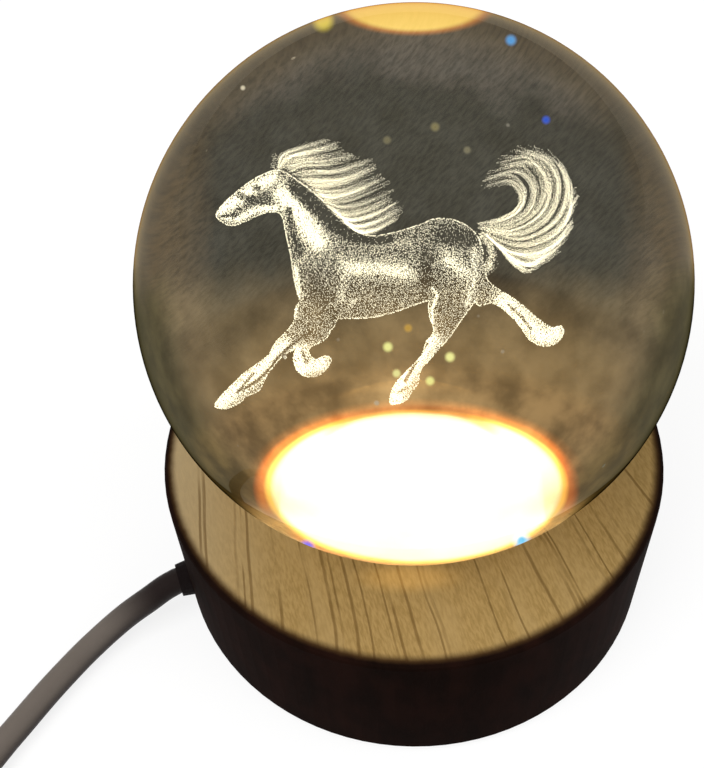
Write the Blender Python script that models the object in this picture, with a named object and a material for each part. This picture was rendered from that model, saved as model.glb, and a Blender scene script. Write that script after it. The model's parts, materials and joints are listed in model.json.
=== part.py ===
"""Crystal ball lamp: an engraved glass ball on a turned wooden base with an LED board under a frosted window.

Metres, +Z up. The origin is on the table under the centre of the base. The lamp is seen from -Y. The cord
leaves the base on its left, lies on the table and is put away in front of the lamp as a tied coil, with an
inline push switch and a USB plug beside it.
"""

import math

import bmesh
import bpy
import numpy as np
from mathutils import Matrix, Vector

# Clearances
GAP = 0.0003  # between pieces that touch on the real lamp
FINE_GAP = 0.0001  # between soldered or glued small pieces
CUT_OVERRUN = 0.001  # how far a cutter runs past the wall that it cuts
MERGE_DISTANCE = 0.000002  # points on the turning axis closer than this are one

# Crystal ball and the seat that carries it
BALL_RADIUS = 0.0300
SEAT_CONTACT_RADIUS = 0.0140  # circle on which the ball rests
SEAT_LAND = 0.0012  # width of the conical seat, across the contact circle

# Turned wooden base
BASE_RADIUS = 0.0320
BASE_HEIGHT = 0.0230  # table to top face
FOOT_PROUD = 0.0008  # how far the feet hold the wood off the table
TOP_EDGE_ROUND = 0.0008
LOWER_EDGE_ROUND = 0.0006
WINDOW_LEDGE = 0.0014  # width of the ledge that carries the window
BASE_WALL = 0.0100  # pocket to the outside

# Frosted window under the ball
WINDOW_THICKNESS = 0.0020
WINDOW_BELOW_BALL = 0.0012
WINDOW_CHAMFER = 0.0003

# LED board
BOARD_EDGE_CLEARANCE = 0.0008  # board to the pocket's wall
BOARD_OVER_CORD = 0.0034  # cord's axis to the board's underside
BOARD_THICKNESS = 0.0016
LED_COUNT = 6
LED_RING_RADIUS = 0.0075
LED_LENGTH = 0.0035
LED_WIDTH = 0.0028
LED_HEIGHT = 0.0008
LED_RIM = 0.0004
LED_DISH = 0.0002
RESISTOR_LENGTH = 0.0032
RESISTOR_WIDTH = 0.0016
RESISTOR_HEIGHT = 0.0006
RESISTOR_PLACE = (0.0060, 0.0030)  # along and across the cord's direction, on the far side of the centre
SOLDER_RADIUS = 0.0011
SOLDER_HEIGHT = 0.0008
SOLDER_PLACE = (0.0090, 0.0025)
LEAD_RADIUS = 0.0006
LEAD_SPREAD_SHARE = 0.8  # how far apart the leads are halfway, of how far apart they end

# Screws: head radius, head height, shank radius, length
BOARD_SCREW_HEAD_RADIUS = 0.0019
BOARD_SCREW_HEAD_HEIGHT = 0.0013
BOARD_SCREW_SHANK_RADIUS = 0.0009
BOARD_SCREW_LENGTH = 0.0052
BOARD_SCREW_EDGE = 0.0020  # screw's axis to the board's edge
COVER_SCREW_HEAD_RADIUS = 0.0021
COVER_SCREW_HEAD_HEIGHT = 0.0011
COVER_SCREW_SHANK_RADIUS = 0.0010
COVER_SCREW_LENGTH = 0.0072
COVER_SCREW_EDGE = 0.0025  # screw's axis to the cover's edge
SWITCH_SCREW_HEAD_RADIUS = 0.0016
SWITCH_SCREW_HEAD_HEIGHT = 0.0007
SWITCH_SCREW_SHANK_RADIUS = 0.0008
SWITCH_SCREW_LENGTH = 0.0060
SCREW_COUNT = 3
PILOT_SPARE = 0.0004  # pilot holes are this much deeper than the screw reaches

# Bottom cover and feet
COVER_MARGIN = 0.0045  # wood left round the cover
COVER_THICKNESS = 0.0018
COVER_CHAMFER = 0.0003
FOOT_COUNT = 4
FOOT_RADIUS = 0.0040
FOOT_FROM_SCREWS = 0.0075  # foot's axis to the circle of cover screws
FOOT_RECESS = 0.0007  # depth of the foot's recess in the cover
FOOT_EDGE_ROUND = 0.0004

# Cord, and the strain relief where it leaves the base
CORD_DIAMETER = 0.0035
CORD_EXIT_AZIMUTH = math.radians(-160)
CORD_EXIT_HEIGHT = 0.0065
RELIEF_BODY_RADIUS = 0.0024  # inside the wall
RELIEF_TIP_RADIUS = 0.0022
RELIEF_LENGTH = 0.0015  # outside the wall
RELIEF_BARB_RADIUS = 0.0030
RELIEF_BARB_LENGTH = 0.0012
RELIEF_BARB_SETBACK = 0.0006  # barb to the pocket wall, on the hole's axis
CORD_TAIL_INSIDE = 0.0060  # sheath inside the pocket
CORD_LIFT = 0.0001  # the lead's faceted tube over the table
TIE_BAND = 0.0007  # thickness of the nylon tie on the sheath
TIE_WIDTH = 0.0022
TIE_HEAD = (0.0022, 0.0026, 0.0030)  # along the cord, out from it, and high
TIE_FROM_BARB = 0.0006

# Coil that holds the length which is put away
COIL_CENTRE = (-0.0314, -0.0656)
COIL_MEAN_RADIUS = 0.0176
COIL_TURNS = 7.25
COIL_START_ANGLE = math.radians(180)
COIL_TURN_GAP = 0.0006
POINTS_PER_TURN = 24
STRAP_THICKNESS = 0.0006
STRAP_WIDTH = 0.0060
STRAP_CLEARANCE = 0.0007  # beside the turns, which curve inside the strap's width
STRAP_CORNER = 0.0018
STRAP_ANGLE = math.radians(225)

# Inline push switch
SWITCH_PLACE = (0.0150, -0.0845)
SWITCH_LENGTH = 0.0380
SWITCH_WIDTH = 0.0150
SWITCH_HEIGHT = 0.0115
SWITCH_WALL = 0.0012
SWITCH_CORNER = 0.0055
SWITCH_EDGE_ROUND = 0.0012
SWITCH_CORD_HEIGHT = 0.0048  # axis of the cord, and the plane where the shells part
SWITCH_CORD_INSIDE = 0.0050
SWITCH_BOSS_RADIUS = 0.0021
SWITCH_BOSS_PLACE = 0.0095  # from the middle, along the switch
BUTTON_RADIUS = 0.0038
BUTTON_PROUD = 0.0022
BUTTON_DOME = 0.0006
BUTTON_FLANGE_RADIUS = 0.0048
BUTTON_FLANGE_THICKNESS = 0.0008
BUTTON_STEM_RADIUS = 0.0016
BUTTON_STEM_LENGTH = 0.0004
BUTTON_TRAVEL = 0.0015
MODULE_LENGTH = 0.0090
MODULE_WIDTH = 0.0084
MODULE_EDGE_ROUND = 0.0005

# USB plug
PLUG_PLACE = (0.0370, -0.0475)  # rear end of the neck, where the cord goes in
PLUG_WAY = -1  # it points along -X
PLUG_BODY_LENGTH = 0.0200
PLUG_BODY_WIDTH = 0.0154
PLUG_BODY_HEIGHT = 0.0078
PLUG_BODY_CORNER = 0.0024
PLUG_FRONT_ROUND = 0.0005
PLUG_NECK_LENGTH = 0.0080
PLUG_NECK_RADIUS = 0.0027
PLUG_SHOULDER_LENGTH = 0.0030
PLUG_CORD_INSIDE = 0.0040
SHELL_WIDTH = 0.0120
SHELL_HEIGHT = 0.0045
SHELL_WALL = 0.0003
SHELL_CORNER = 0.0006
SHELL_REACH = 0.0120  # in front of the moulded body
SHELL_INSIDE = 0.0040  # held in the moulded body
SHELL_WINDOW = (0.0025, 0.0022)
SHELL_WINDOW_PLACE = (0.0058, 0.0028)  # from the front edge, and across from the middle
TONGUE_HEIGHT = 0.0018
TONGUE_SETBACK = 0.0006
CONTACT_COUNT = 4
CONTACT_PITCH = 0.0023
CONTACT_WIDTH = 0.0011
CONTACT_LENGTH = 0.0074
CONTACT_HEIGHT = 0.0002
CONTACT_SETBACK = 0.0012

# How finely round shapes are divided
BALL_SEGMENTS = 64
BASE_SEGMENTS = 96
DISC_SEGMENTS = 48
SMALL_SEGMENTS = 20
FILLET_STEPS = 3
SHARP_ANGLE = math.radians(35)

# Heights and radii that follow from the sizes above
CORD_RADIUS = CORD_DIAMETER / 2
SEAT_ANGLE = math.asin(SEAT_CONTACT_RADIUS / (BALL_RADIUS + GAP))
SEAT_INNER_RADIUS = SEAT_CONTACT_RADIUS - SEAT_LAND / 2
SEAT_OUTER_RADIUS = SEAT_CONTACT_RADIUS + SEAT_LAND / 2
SEAT_CONTACT_Z = BASE_HEIGHT - SEAT_LAND / 2 * math.tan(SEAT_ANGLE)
SEAT_INNER_Z = BASE_HEIGHT - SEAT_LAND * math.tan(SEAT_ANGLE)
BALL_CENTRE_Z = SEAT_CONTACT_Z + (BALL_RADIUS + GAP) * math.cos(SEAT_ANGLE)
WINDOW_TOP_Z = BALL_CENTRE_Z - BALL_RADIUS - WINDOW_BELOW_BALL
LEDGE_Z = WINDOW_TOP_Z - WINDOW_THICKNESS - GAP
COVER_TOP_Z = FOOT_PROUD + COVER_THICKNESS
REBATE_Z = COVER_TOP_Z + GAP
BOARD_BOTTOM_Z = CORD_EXIT_HEIGHT + BOARD_OVER_CORD
BOARD_TOP_Z = BOARD_BOTTOM_Z + BOARD_THICKNESS
CEILING_Z = BOARD_TOP_Z + GAP
POCKET_RADIUS = BASE_RADIUS - BASE_WALL
BOARD_RADIUS = POCKET_RADIUS - BOARD_EDGE_CLEARANCE
BOARD_SCREW_CIRCLE = BOARD_RADIUS - BOARD_SCREW_EDGE
COVER_RADIUS = BASE_RADIUS - COVER_MARGIN
COVER_SCREW_CIRCLE = COVER_RADIUS - COVER_SCREW_EDGE
FOOT_CIRCLE = COVER_SCREW_CIRCLE - FOOT_FROM_SCREWS
LED_BORE_RADIUS = SEAT_INNER_RADIUS - WINDOW_LEDGE
CORD_EXIT_DIRECTION = Vector((math.cos(CORD_EXIT_AZIMUTH), math.sin(CORD_EXIT_AZIMUTH), 0))
CORD_SIDE_DIRECTION = Vector((-math.sin(CORD_EXIT_AZIMUTH), math.cos(CORD_EXIT_AZIMUTH), 0))
RELIEF_TIP = BASE_RADIUS + RELIEF_LENGTH  # distances from the base's axis, along the cord
RELIEF_BARB_OUTER = POCKET_RADIUS - RELIEF_BARB_SETBACK
RELIEF_BARB_INNER = RELIEF_BARB_OUTER - RELIEF_BARB_LENGTH
CORD_TAIL_END = POCKET_RADIUS - CORD_TAIL_INSIDE
COIL_PITCH = CORD_DIAMETER + COIL_TURN_GAP
COIL_LOW_Z = STRAP_THICKNESS + GAP + CORD_RADIUS
COIL_OUTER_RADIUS = COIL_MEAN_RADIUS + COIL_PITCH * COIL_TURNS / 4


def make_material(name, colour, roughness, metallic=0.0, transmission=0.0, glow=0.0):
    """A Principled material in one colour."""
    material = bpy.data.materials.new(name)
    material.use_nodes = True
    shader = material.node_tree.nodes["Principled BSDF"]
    shader.inputs["Base Color"].default_value = (*colour, 1)
    shader.inputs["Roughness"].default_value = roughness
    shader.inputs["Metallic"].default_value = metallic
    shader.inputs["Transmission Weight"].default_value = transmission
    shader.inputs["Emission Color"].default_value = (*colour, 1)
    shader.inputs["Emission Strength"].default_value = glow
    material.diffuse_color = (*colour, 1)
    return material


def add_object(name, mesh, material, place=(0, 0, 0), turn=None):
    """Puts a finished bmesh in the scene as a named object."""
    bmesh.ops.recalc_face_normals(mesh, faces=mesh.faces)
    data = bpy.data.meshes.new(name)
    mesh.to_mesh(data)
    mesh.free()
    data.shade_smooth()
    data.set_sharp_from_angle(angle=SHARP_ANGLE)
    data.materials.append(material)
    return add_copy(name, data, place, turn)


def add_copy(name, data, place=(0, 0, 0), turn=None):
    """Another object with a mesh or curve that exists already."""
    thing = bpy.data.objects.new(name, data)
    thing.matrix_world = Matrix.Translation(Vector(place)) @ (turn or Matrix.Identity(4))
    bpy.context.scene.collection.objects.link(thing)
    return thing


def turned_mesh(outline, segments):
    """Turns an outline of (radius, height) points round Z. It is a closed loop, or ends on the axis twice."""
    mesh = bmesh.new()
    points = [mesh.verts.new((radius, 0, height)) for radius, height in outline]
    edges = [mesh.edges.new(pair) for pair in zip(points, points[1:])]
    if outline[0][0] > 0:
        edges.append(mesh.edges.new((points[-1], points[0])))
    bmesh.ops.spin(
        mesh,
        geom=points + edges,
        cent=(0, 0, 0),
        axis=(0, 0, 1),
        angle=math.tau,
        steps=segments,
        use_duplicate=False,
    )
    bmesh.ops.remove_doubles(mesh, verts=mesh.verts, dist=MERGE_DISTANCE)
    return mesh


def loft_mesh(sections, cyclic=False):
    """Skins sections of equally many points. A cyclic loft closes on its first section and has no caps."""
    mesh = bmesh.new()
    rings = [[mesh.verts.new(point) for point in section] for section in sections]
    count = len(rings[0])
    for near, far in zip(rings, rings[1:] + (rings[:1] if cyclic else [])):
        for i in range(count):
            j = (i + 1) % count
            mesh.faces.new((near[i], near[j], far[j], far[i]))
    if not cyclic:
        mesh.faces.new(rings[0][::-1])
        mesh.faces.new(rings[-1])
    return mesh


def box_mesh(length, width, height, edge_round=0.0):
    """A box round the origin, with its edges rounded off by a small flat where edge_round is given."""
    mesh = bmesh.new()
    bmesh.ops.create_cube(mesh, size=1, matrix=Matrix.Diagonal((length, width, height, 1)))
    if edge_round:
        bmesh.ops.bevel(mesh, geom=mesh.edges[:], offset=edge_round, segments=1, affect="EDGES")
    return mesh


def arc(centre, radius, start, end, steps=FILLET_STEPS):
    """Points of an arc in a plane, with its angles in degrees."""
    angles = np.radians(np.linspace(start, end, steps + 1))
    return [(centre[0] + radius * math.cos(a), centre[1] + radius * math.sin(a)) for a in angles]


def rounded_rectangle(length, width, corner, steps=FILLET_STEPS):
    """Outline round the origin, counter-clockwise."""
    x, y = length / 2 - corner, width / 2 - corner
    outline = []
    for sign_x, sign_y, start in ((1, 1, 0), (-1, 1, 90), (-1, -1, 180), (1, -1, 270)):
        outline += arc((sign_x * x, sign_y * y), corner, start, start + 90, steps)
    return outline


def cut_with(thing, cutters, operation="DIFFERENCE"):
    """Cuts the cutters out of thing, or joins them to it, by Boolean modifiers."""
    for cutter in cutters:
        cutter.hide_render = True
        cutter.display_type = "WIRE"
        modifier = thing.modifiers.new(cutter.name, "BOOLEAN")
        modifier.operation = operation
        modifier.solver = "EXACT"
        modifier.object = cutter


def add_rod(name, radius, low, high, material, place=(0, 0, 0), turn=None, segments=SMALL_SEGMENTS):
    """A plain cylinder from low to high on its own axis, which is Z before it is turned."""
    outline = [(0, low), (radius, low), (radius, high), (0, high)]
    return add_object(name, turned_mesh(outline, segments), material, place, turn)


def smooth_route(knots, steps):
    """Points of a smooth curve through the knots, with steps of them from each knot to the next."""
    ends = [2 * knots[0] - knots[1], *knots, 2 * knots[-1] - knots[-2]]
    route = []
    for before, start, end, after in zip(ends, ends[1:], ends[2:], ends[3:]):
        for i in range(steps):
            t = i / steps
            route.append(
                0.5
                * (
                    2 * start
                    + (end - before) * t
                    + (2 * before - 5 * start + 4 * end - after) * t**2
                    + (3 * start - before - 3 * end + after) * t**3
                )
            )
    return [*route, knots[-1].copy()]


def add_tube(name, route, radius, material, resolution=2):
    """A capped tube along the points of a route."""
    curve = bpy.data.curves.new(name, "CURVE")
    curve.dimensions = "3D"
    curve.bevel_depth = radius
    curve.bevel_resolution = resolution
    curve.use_fill_caps = True
    spline = curve.splines.new("POLY")
    spline.points.add(len(route) - 1)
    for point, place in zip(spline.points, route):
        point.co = (*place, 1)
    curve.materials.append(material)
    return add_copy(name, curve)


def circle_places(count, radius, first=0.0):
    """(angle, x, y) of places spaced evenly on a circle."""
    angles = [first + math.tau * i / count for i in range(count)]
    return [(a, radius * math.cos(a), radius * math.sin(a)) for a in angles]


def beside_cord(along, across, height):
    """A point given by its distances along the cord's exit direction and across it."""
    return CORD_EXIT_DIRECTION * along + CORD_SIDE_DIRECTION * across + Vector((0, 0, height))


def towards(direction):
    """A turn that lays the Z axis along a direction."""
    return Vector(direction).to_track_quat("Z", "Y").to_matrix().to_4x4()


def clear_scene():
    for thing in list(bpy.data.objects):
        bpy.data.objects.remove(thing)


OAK = (0.52, 0.34, 0.16)
DARK_BROWN = (0.030, 0.014, 0.011)
CORD_GREY = (0.20, 0.17, 0.15)


def make_materials():
    return {
        "glass": make_material("crystal_glass", (0.80, 0.78, 0.72), 0.0, transmission=1.0),
        "wood": make_material("oak_wood", OAK, 0.5),
        "window": make_material("frosted_acrylic", (1.0, 0.86, 0.62), 0.6, glow=4.0),
        "board": make_material("board_white", (0.80, 0.80, 0.78), 0.4),
        "led": make_material("led_phosphor", (0.95, 0.78, 0.25), 0.4, glow=2.0),
        "component": make_material("component_black", (0.03, 0.03, 0.03), 0.4),
        "solder": make_material("solder", (0.65, 0.65, 0.66), 0.3, metallic=1.0),
        "red": make_material("red_insulation", (0.60, 0.03, 0.02), 0.4),
        "black": make_material("black_insulation", (0.02, 0.02, 0.02), 0.4),
        "steel": make_material("steel", (0.60, 0.60, 0.62), 0.25, metallic=1.0),
        "gold": make_material("gold_plating", (0.85, 0.62, 0.22), 0.25, metallic=1.0),
        "cover": make_material("cover_plastic", DARK_BROWN, 0.5),
        "rubber": make_material("foot_rubber", (0.05, 0.05, 0.05), 0.8),
        "relief": make_material("relief_rubber", DARK_BROWN, 0.6),
        "cord": make_material("cord_sheath", CORD_GREY, 0.5),
        "nylon": make_material("nylon", (0.70, 0.70, 0.68), 0.4),
        "strap": make_material("strap_webbing", (0.03, 0.03, 0.03), 0.7),
        "shell": make_material("switch_plastic", CORD_GREY, 0.4),
        "button": make_material("button_plastic", (0.04, 0.035, 0.03), 0.35),
    }


def add_ball(material):
    """The solid glass ball. It lifts straight off its seat."""
    mesh = bmesh.new()
    bmesh.ops.create_uvsphere(
        mesh, u_segments=BALL_SEGMENTS, v_segments=BALL_SEGMENTS // 2, radius=BALL_RADIUS
    )
    add_object("crystal_ball", mesh, material, (0, 0, BALL_CENTRE_Z))


def screw_outline(head_radius, head_height, shank_radius, length, grow=0.0, overrun=0.0):
    """Countersunk screw, head face down at height 0. grow and overrun make its hole."""
    return [
        (0, -overrun),
        (head_radius + grow, -overrun),
        (head_radius + grow, 0),
        (shank_radius + grow, head_height),
        (shank_radius + grow, length + overrun),
        (0, length + overrun),
    ]


COVER_SCREW = (
    COVER_SCREW_HEAD_RADIUS,
    COVER_SCREW_HEAD_HEIGHT,
    COVER_SCREW_SHANK_RADIUS,
    COVER_SCREW_LENGTH,
)
SWITCH_SCREW = (
    SWITCH_SCREW_HEAD_RADIUS,
    SWITCH_SCREW_HEAD_HEIGHT,
    SWITCH_SCREW_SHANK_RADIUS,
    SWITCH_SCREW_LENGTH,
)


def cover_screw_places():
    """On a circle, with the cord's hole midway between two of them."""
    return circle_places(SCREW_COUNT, COVER_SCREW_CIRCLE, CORD_EXIT_AZIMUTH + math.pi / SCREW_COUNT)


def board_screw_places():
    return circle_places(SCREW_COUNT, BOARD_SCREW_CIRCLE, CORD_EXIT_AZIMUTH + math.pi / SCREW_COUNT)


def add_wooden_base(material):
    """One turned block: conical seat, bore with a ledge for the window, pocket and rebate underneath."""
    rebate_radius = COVER_RADIUS + GAP
    outline = [
        (POCKET_RADIUS, CEILING_Z),
        (LED_BORE_RADIUS, CEILING_Z),
        (LED_BORE_RADIUS, LEDGE_Z),
        (SEAT_INNER_RADIUS, LEDGE_Z),
        (SEAT_INNER_RADIUS, SEAT_INNER_Z),
        (SEAT_OUTER_RADIUS, BASE_HEIGHT),
        *arc((BASE_RADIUS - TOP_EDGE_ROUND, BASE_HEIGHT - TOP_EDGE_ROUND), TOP_EDGE_ROUND, 90, 0),
        *arc((BASE_RADIUS - LOWER_EDGE_ROUND, FOOT_PROUD + LOWER_EDGE_ROUND), LOWER_EDGE_ROUND, 0, -90),
        (rebate_radius, FOOT_PROUD),
        (rebate_radius, REBATE_Z),
        (POCKET_RADIUS, REBATE_Z),
    ]
    base = add_object("wooden_base", turned_mesh(outline, BASE_SEGMENTS), material)
    cutters = [
        add_rod(
            "cutter_cord_hole",
            RELIEF_BODY_RADIUS + GAP,
            POCKET_RADIUS - CUT_OVERRUN,
            BASE_RADIUS + CUT_OVERRUN,
            material,
            (0, 0, CORD_EXIT_HEIGHT),
            towards(CORD_EXIT_DIRECTION),
        )
    ]
    screw_tip = FOOT_PROUD + GAP + COVER_SCREW_LENGTH
    for i, (_, x, y) in enumerate(cover_screw_places(), 1):
        low, high = REBATE_Z - CUT_OVERRUN, screw_tip + PILOT_SPARE
        name = f"cutter_cover_pilot_{i}"
        cutters.append(add_rod(name, COVER_SCREW_SHANK_RADIUS + GAP, low, high, material, (x, y, 0)))
    board_tip = BOARD_BOTTOM_Z - GAP + BOARD_SCREW_LENGTH
    for i, (_, x, y) in enumerate(board_screw_places(), 1):
        low, high = CEILING_Z - CUT_OVERRUN, board_tip + PILOT_SPARE
        name = f"cutter_board_pilot_{i}"
        cutters.append(add_rod(name, BOARD_SCREW_SHANK_RADIUS + GAP, low, high, material, (x, y, 0)))
    cut_with(base, cutters)


def add_window(material):
    radius = SEAT_INNER_RADIUS - GAP
    low, high = WINDOW_TOP_Z - WINDOW_THICKNESS, WINDOW_TOP_Z
    outline = [
        (0, low),
        (radius, low),
        (radius, high - WINDOW_CHAMFER),
        (radius - WINDOW_CHAMFER, high),
        (0, high),
    ]
    add_object("light_window", turned_mesh(outline, DISC_SEGMENTS), material)


def led_mesh():
    """A flat LED package whose light-giving face is sunk inside a raised rim."""
    mesh = box_mesh(LED_LENGTH, LED_WIDTH, LED_HEIGHT)
    top = max(mesh.faces, key=lambda face: face.calc_center_median().z)
    bmesh.ops.inset_region(mesh, faces=[top], thickness=LED_RIM, depth=0)
    bmesh.ops.translate(mesh, verts=top.verts[:], vec=(0, 0, -LED_DISH))
    return mesh


def add_led_board(materials):
    """Round board against the pocket's ceiling, its LEDs facing up through the bore."""
    outline = [
        (0, BOARD_BOTTOM_Z),
        (BOARD_RADIUS, BOARD_BOTTOM_Z),
        (BOARD_RADIUS, BOARD_TOP_Z),
        (0, BOARD_TOP_Z),
    ]
    board = add_object("led_board", turned_mesh(outline, DISC_SEGMENTS), materials["board"])
    cutters = []
    for i, (_, x, y) in enumerate(board_screw_places(), 1):
        low, high = BOARD_BOTTOM_Z - CUT_OVERRUN, BOARD_TOP_Z + CUT_OVERRUN
        radius = BOARD_SCREW_SHANK_RADIUS + GAP
        cutters.append(add_rod(f"cutter_board_hole_{i}", radius, low, high, materials["board"], (x, y, 0)))
    cut_with(board, cutters)

    led_z = BOARD_TOP_Z + FINE_GAP + LED_HEIGHT / 2
    chip = add_object("led_1", led_mesh(), materials["led"])
    for i, (angle, x, y) in enumerate(circle_places(LED_COUNT, LED_RING_RADIUS), 1):
        copy = chip if i == 1 else add_copy(f"led_{i}", chip.data)
        copy.matrix_world = Matrix.Translation((x, y, led_z)) @ Matrix.Rotation(angle, 4, "Z")

    under = BOARD_BOTTOM_Z - FINE_GAP
    turn = Matrix.Rotation(CORD_EXIT_AZIMUTH, 4, "Z")
    along, across = RESISTOR_PLACE
    for i, side in enumerate((-1, 1), 1):
        mesh = box_mesh(RESISTOR_LENGTH, RESISTOR_WIDTH, RESISTOR_HEIGHT)
        place = beside_cord(-along, side * across, under - RESISTOR_HEIGHT / 2)
        add_object(f"resistor_{i}", mesh, materials["component"], place, turn)

    along, across = SOLDER_PLACE
    dome = [
        (0, 0),
        (SOLDER_RADIUS, 0),
        (SOLDER_RADIUS * math.cos(math.pi / 5), -SOLDER_HEIGHT * math.sin(math.pi / 5)),
        (SOLDER_RADIUS * math.cos(math.pi / 3), -SOLDER_HEIGHT * math.sin(math.pi / 3)),
        (0, -SOLDER_HEIGHT),
    ]
    for name, side in (("solder_positive", -1), ("solder_negative", 1)):
        place = beside_cord(along, side * across, under)
        add_object(name, turned_mesh(dome, SMALL_SEGMENTS), materials["solder"], place)


def add_board_screws(material):
    """Pan-head screws that hold the board up against the wood."""
    top = -GAP
    head = [
        (0, top - BOARD_SCREW_HEAD_HEIGHT),
        *arc(
            (BOARD_SCREW_HEAD_RADIUS - BOARD_SCREW_HEAD_HEIGHT / 2, top - BOARD_SCREW_HEAD_HEIGHT / 2),
            BOARD_SCREW_HEAD_HEIGHT / 2,
            -90,
            0,
        ),
        (BOARD_SCREW_HEAD_RADIUS, top),
        (BOARD_SCREW_SHANK_RADIUS, top),
        (BOARD_SCREW_SHANK_RADIUS, top + BOARD_SCREW_LENGTH),
        (0, top + BOARD_SCREW_LENGTH),
    ]
    for i, (_, x, y) in enumerate(board_screw_places(), 1):
        mesh = turned_mesh(head, SMALL_SEGMENTS)
        add_object(f"board_screw_{i}", mesh, material, (x, y, BOARD_BOTTOM_Z))


def add_bottom_cover(materials):
    """Disc let into the underside, with countersunk screws and four recessed feet."""
    outline = [
        (0, FOOT_PROUD),
        (COVER_RADIUS - COVER_CHAMFER, FOOT_PROUD),
        (COVER_RADIUS, FOOT_PROUD + COVER_CHAMFER),
        (COVER_RADIUS, COVER_TOP_Z),
        (0, COVER_TOP_Z),
    ]
    cover = add_object("bottom_cover", turned_mesh(outline, DISC_SEGMENTS), materials["cover"])
    cutters = []
    for i, (_, x, y) in enumerate(cover_screw_places(), 1):
        place = (x, y, FOOT_PROUD + GAP)
        hole = turned_mesh(screw_outline(*COVER_SCREW, GAP, CUT_OVERRUN), SMALL_SEGMENTS)
        cutters.append(add_object(f"cutter_cover_screw_{i}", hole, materials["cover"], place))
        screw = turned_mesh(screw_outline(*COVER_SCREW), SMALL_SEGMENTS)
        add_object(f"cover_screw_{i}", screw, materials["steel"], place)

    foot_top = FOOT_PROUD + FOOT_RECESS - GAP
    foot = [
        (0, 0),
        *arc((FOOT_RADIUS - FOOT_EDGE_ROUND, FOOT_EDGE_ROUND), FOOT_EDGE_ROUND, -90, 0),
        (FOOT_RADIUS, foot_top),
        (0, foot_top),
    ]
    for i, (_, x, y) in enumerate(circle_places(FOOT_COUNT, FOOT_CIRCLE, CORD_EXIT_AZIMUTH), 1):
        low, high = FOOT_PROUD - CUT_OVERRUN, FOOT_PROUD + FOOT_RECESS
        name = f"cutter_foot_recess_{i}"
        cutters.append(add_rod(name, FOOT_RADIUS + GAP, low, high, materials["cover"], (x, y, 0)))
        add_object(f"foot_{i}", turned_mesh(foot, SMALL_SEGMENTS), materials["rubber"], (x, y, 0))
    cut_with(cover, cutters)


def add_strain_relief(material):
    """Moulded bush, bored for the cord, with a barb inside the wall and a short tapered nose outside it."""
    bore = CORD_RADIUS + GAP
    outline = [
        (bore, RELIEF_BARB_INNER),
        (RELIEF_BODY_RADIUS, RELIEF_BARB_INNER),
        (RELIEF_BARB_RADIUS, RELIEF_BARB_OUTER),
        (RELIEF_BODY_RADIUS, RELIEF_BARB_OUTER),
        (RELIEF_BODY_RADIUS, BASE_RADIUS),
        (RELIEF_TIP_RADIUS, RELIEF_TIP),
        (bore, RELIEF_TIP),
    ]
    place, turn = (0, 0, CORD_EXIT_HEIGHT), towards(CORD_EXIT_DIRECTION)
    add_object("strain_relief", turned_mesh(outline, SMALL_SEGMENTS), material, place, turn)


def add_cord_inside_base(materials):
    """Sheath through the strain relief, the nylon tie that stops it pulling out, and the two leads."""
    place, turn = (0, 0, CORD_EXIT_HEIGHT), towards(CORD_EXIT_DIRECTION)
    add_rod("cord_tail", CORD_RADIUS, CORD_TAIL_END, RELIEF_TIP, materials["cord"], place, turn)

    inner, outer = CORD_RADIUS + GAP, CORD_RADIUS + GAP + TIE_BAND
    high = RELIEF_BARB_INNER - TIE_FROM_BARB
    low = high - TIE_WIDTH
    band = [(inner, low), (outer, low), (outer, high), (inner, high)]
    tie = add_object("cable_tie", turned_mesh(band, SMALL_SEGMENTS), materials["nylon"], place, turn)
    length, width, height = TIE_HEAD
    middle = beside_cord((low + high) / 2, inner + (TIE_BAND + width) / 2, CORD_EXIT_HEIGHT)
    head_turn = Matrix.Rotation(CORD_EXIT_AZIMUTH, 4, "Z")
    mesh = box_mesh(length, width, height, TIE_BAND / 4)
    head = add_object("cutter_tie_head", mesh, materials["nylon"], middle, head_turn)
    cut_with(tie, [head], "UNION")

    along, across = SOLDER_PLACE
    start, end_z = CORD_TAIL_END - GAP, BOARD_BOTTOM_Z - SOLDER_HEIGHT - 2 * FINE_GAP
    straight = 2 * LEAD_RADIUS
    halfway, half_z = (start + along) / 2, (CORD_EXIT_HEIGHT + end_z) / 2
    for name, side, colour in (("lead_positive", -1, "red"), ("lead_negative", 1, "black")):
        near = side * (LEAD_RADIUS + FINE_GAP)
        knots = [
            beside_cord(start, near, CORD_EXIT_HEIGHT),
            beside_cord(start - straight, near, CORD_EXIT_HEIGHT),
            beside_cord(halfway, side * across * LEAD_SPREAD_SHARE, half_z),
            beside_cord(along, side * across, end_z - straight),
            beside_cord(along, side * across, end_z),
        ]
        add_tube(name, smooth_route(knots, 4), LEAD_RADIUS, materials[colour], resolution=1)


def coil_route():
    """Points of the coil: it spirals in on the table layer, climbs and spirals out again on top."""
    count = round(COIL_TURNS * POINTS_PER_TURN)
    middle = COIL_TURNS / 2
    route = []
    for i in range(count + 1):
        turns = COIL_TURNS * i / count
        angle = COIL_START_ANGLE + math.tau * turns
        radius = COIL_OUTER_RADIUS - COIL_PITCH * (middle - abs(turns - middle))
        climb = min(1.0, max(0.0, 2 * (turns - middle) + 0.5))
        height = COIL_LOW_Z + COIL_PITCH * climb * climb * (3 - 2 * climb)
        route.append(
            Vector(
                (
                    COIL_CENTRE[0] + radius * math.cos(angle),
                    COIL_CENTRE[1] + radius * math.sin(angle),
                    height,
                )
            )
        )
    first = tangent_at(COIL_START_ANGLE)
    last = tangent_at(COIL_START_ANGLE + math.tau * COIL_TURNS)
    return [route[0] - first * CORD_DIAMETER, *route, route[-1] + last * CORD_DIAMETER]


def tangent_at(angle):
    return Vector((-math.sin(angle), math.cos(angle), 0))


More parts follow.
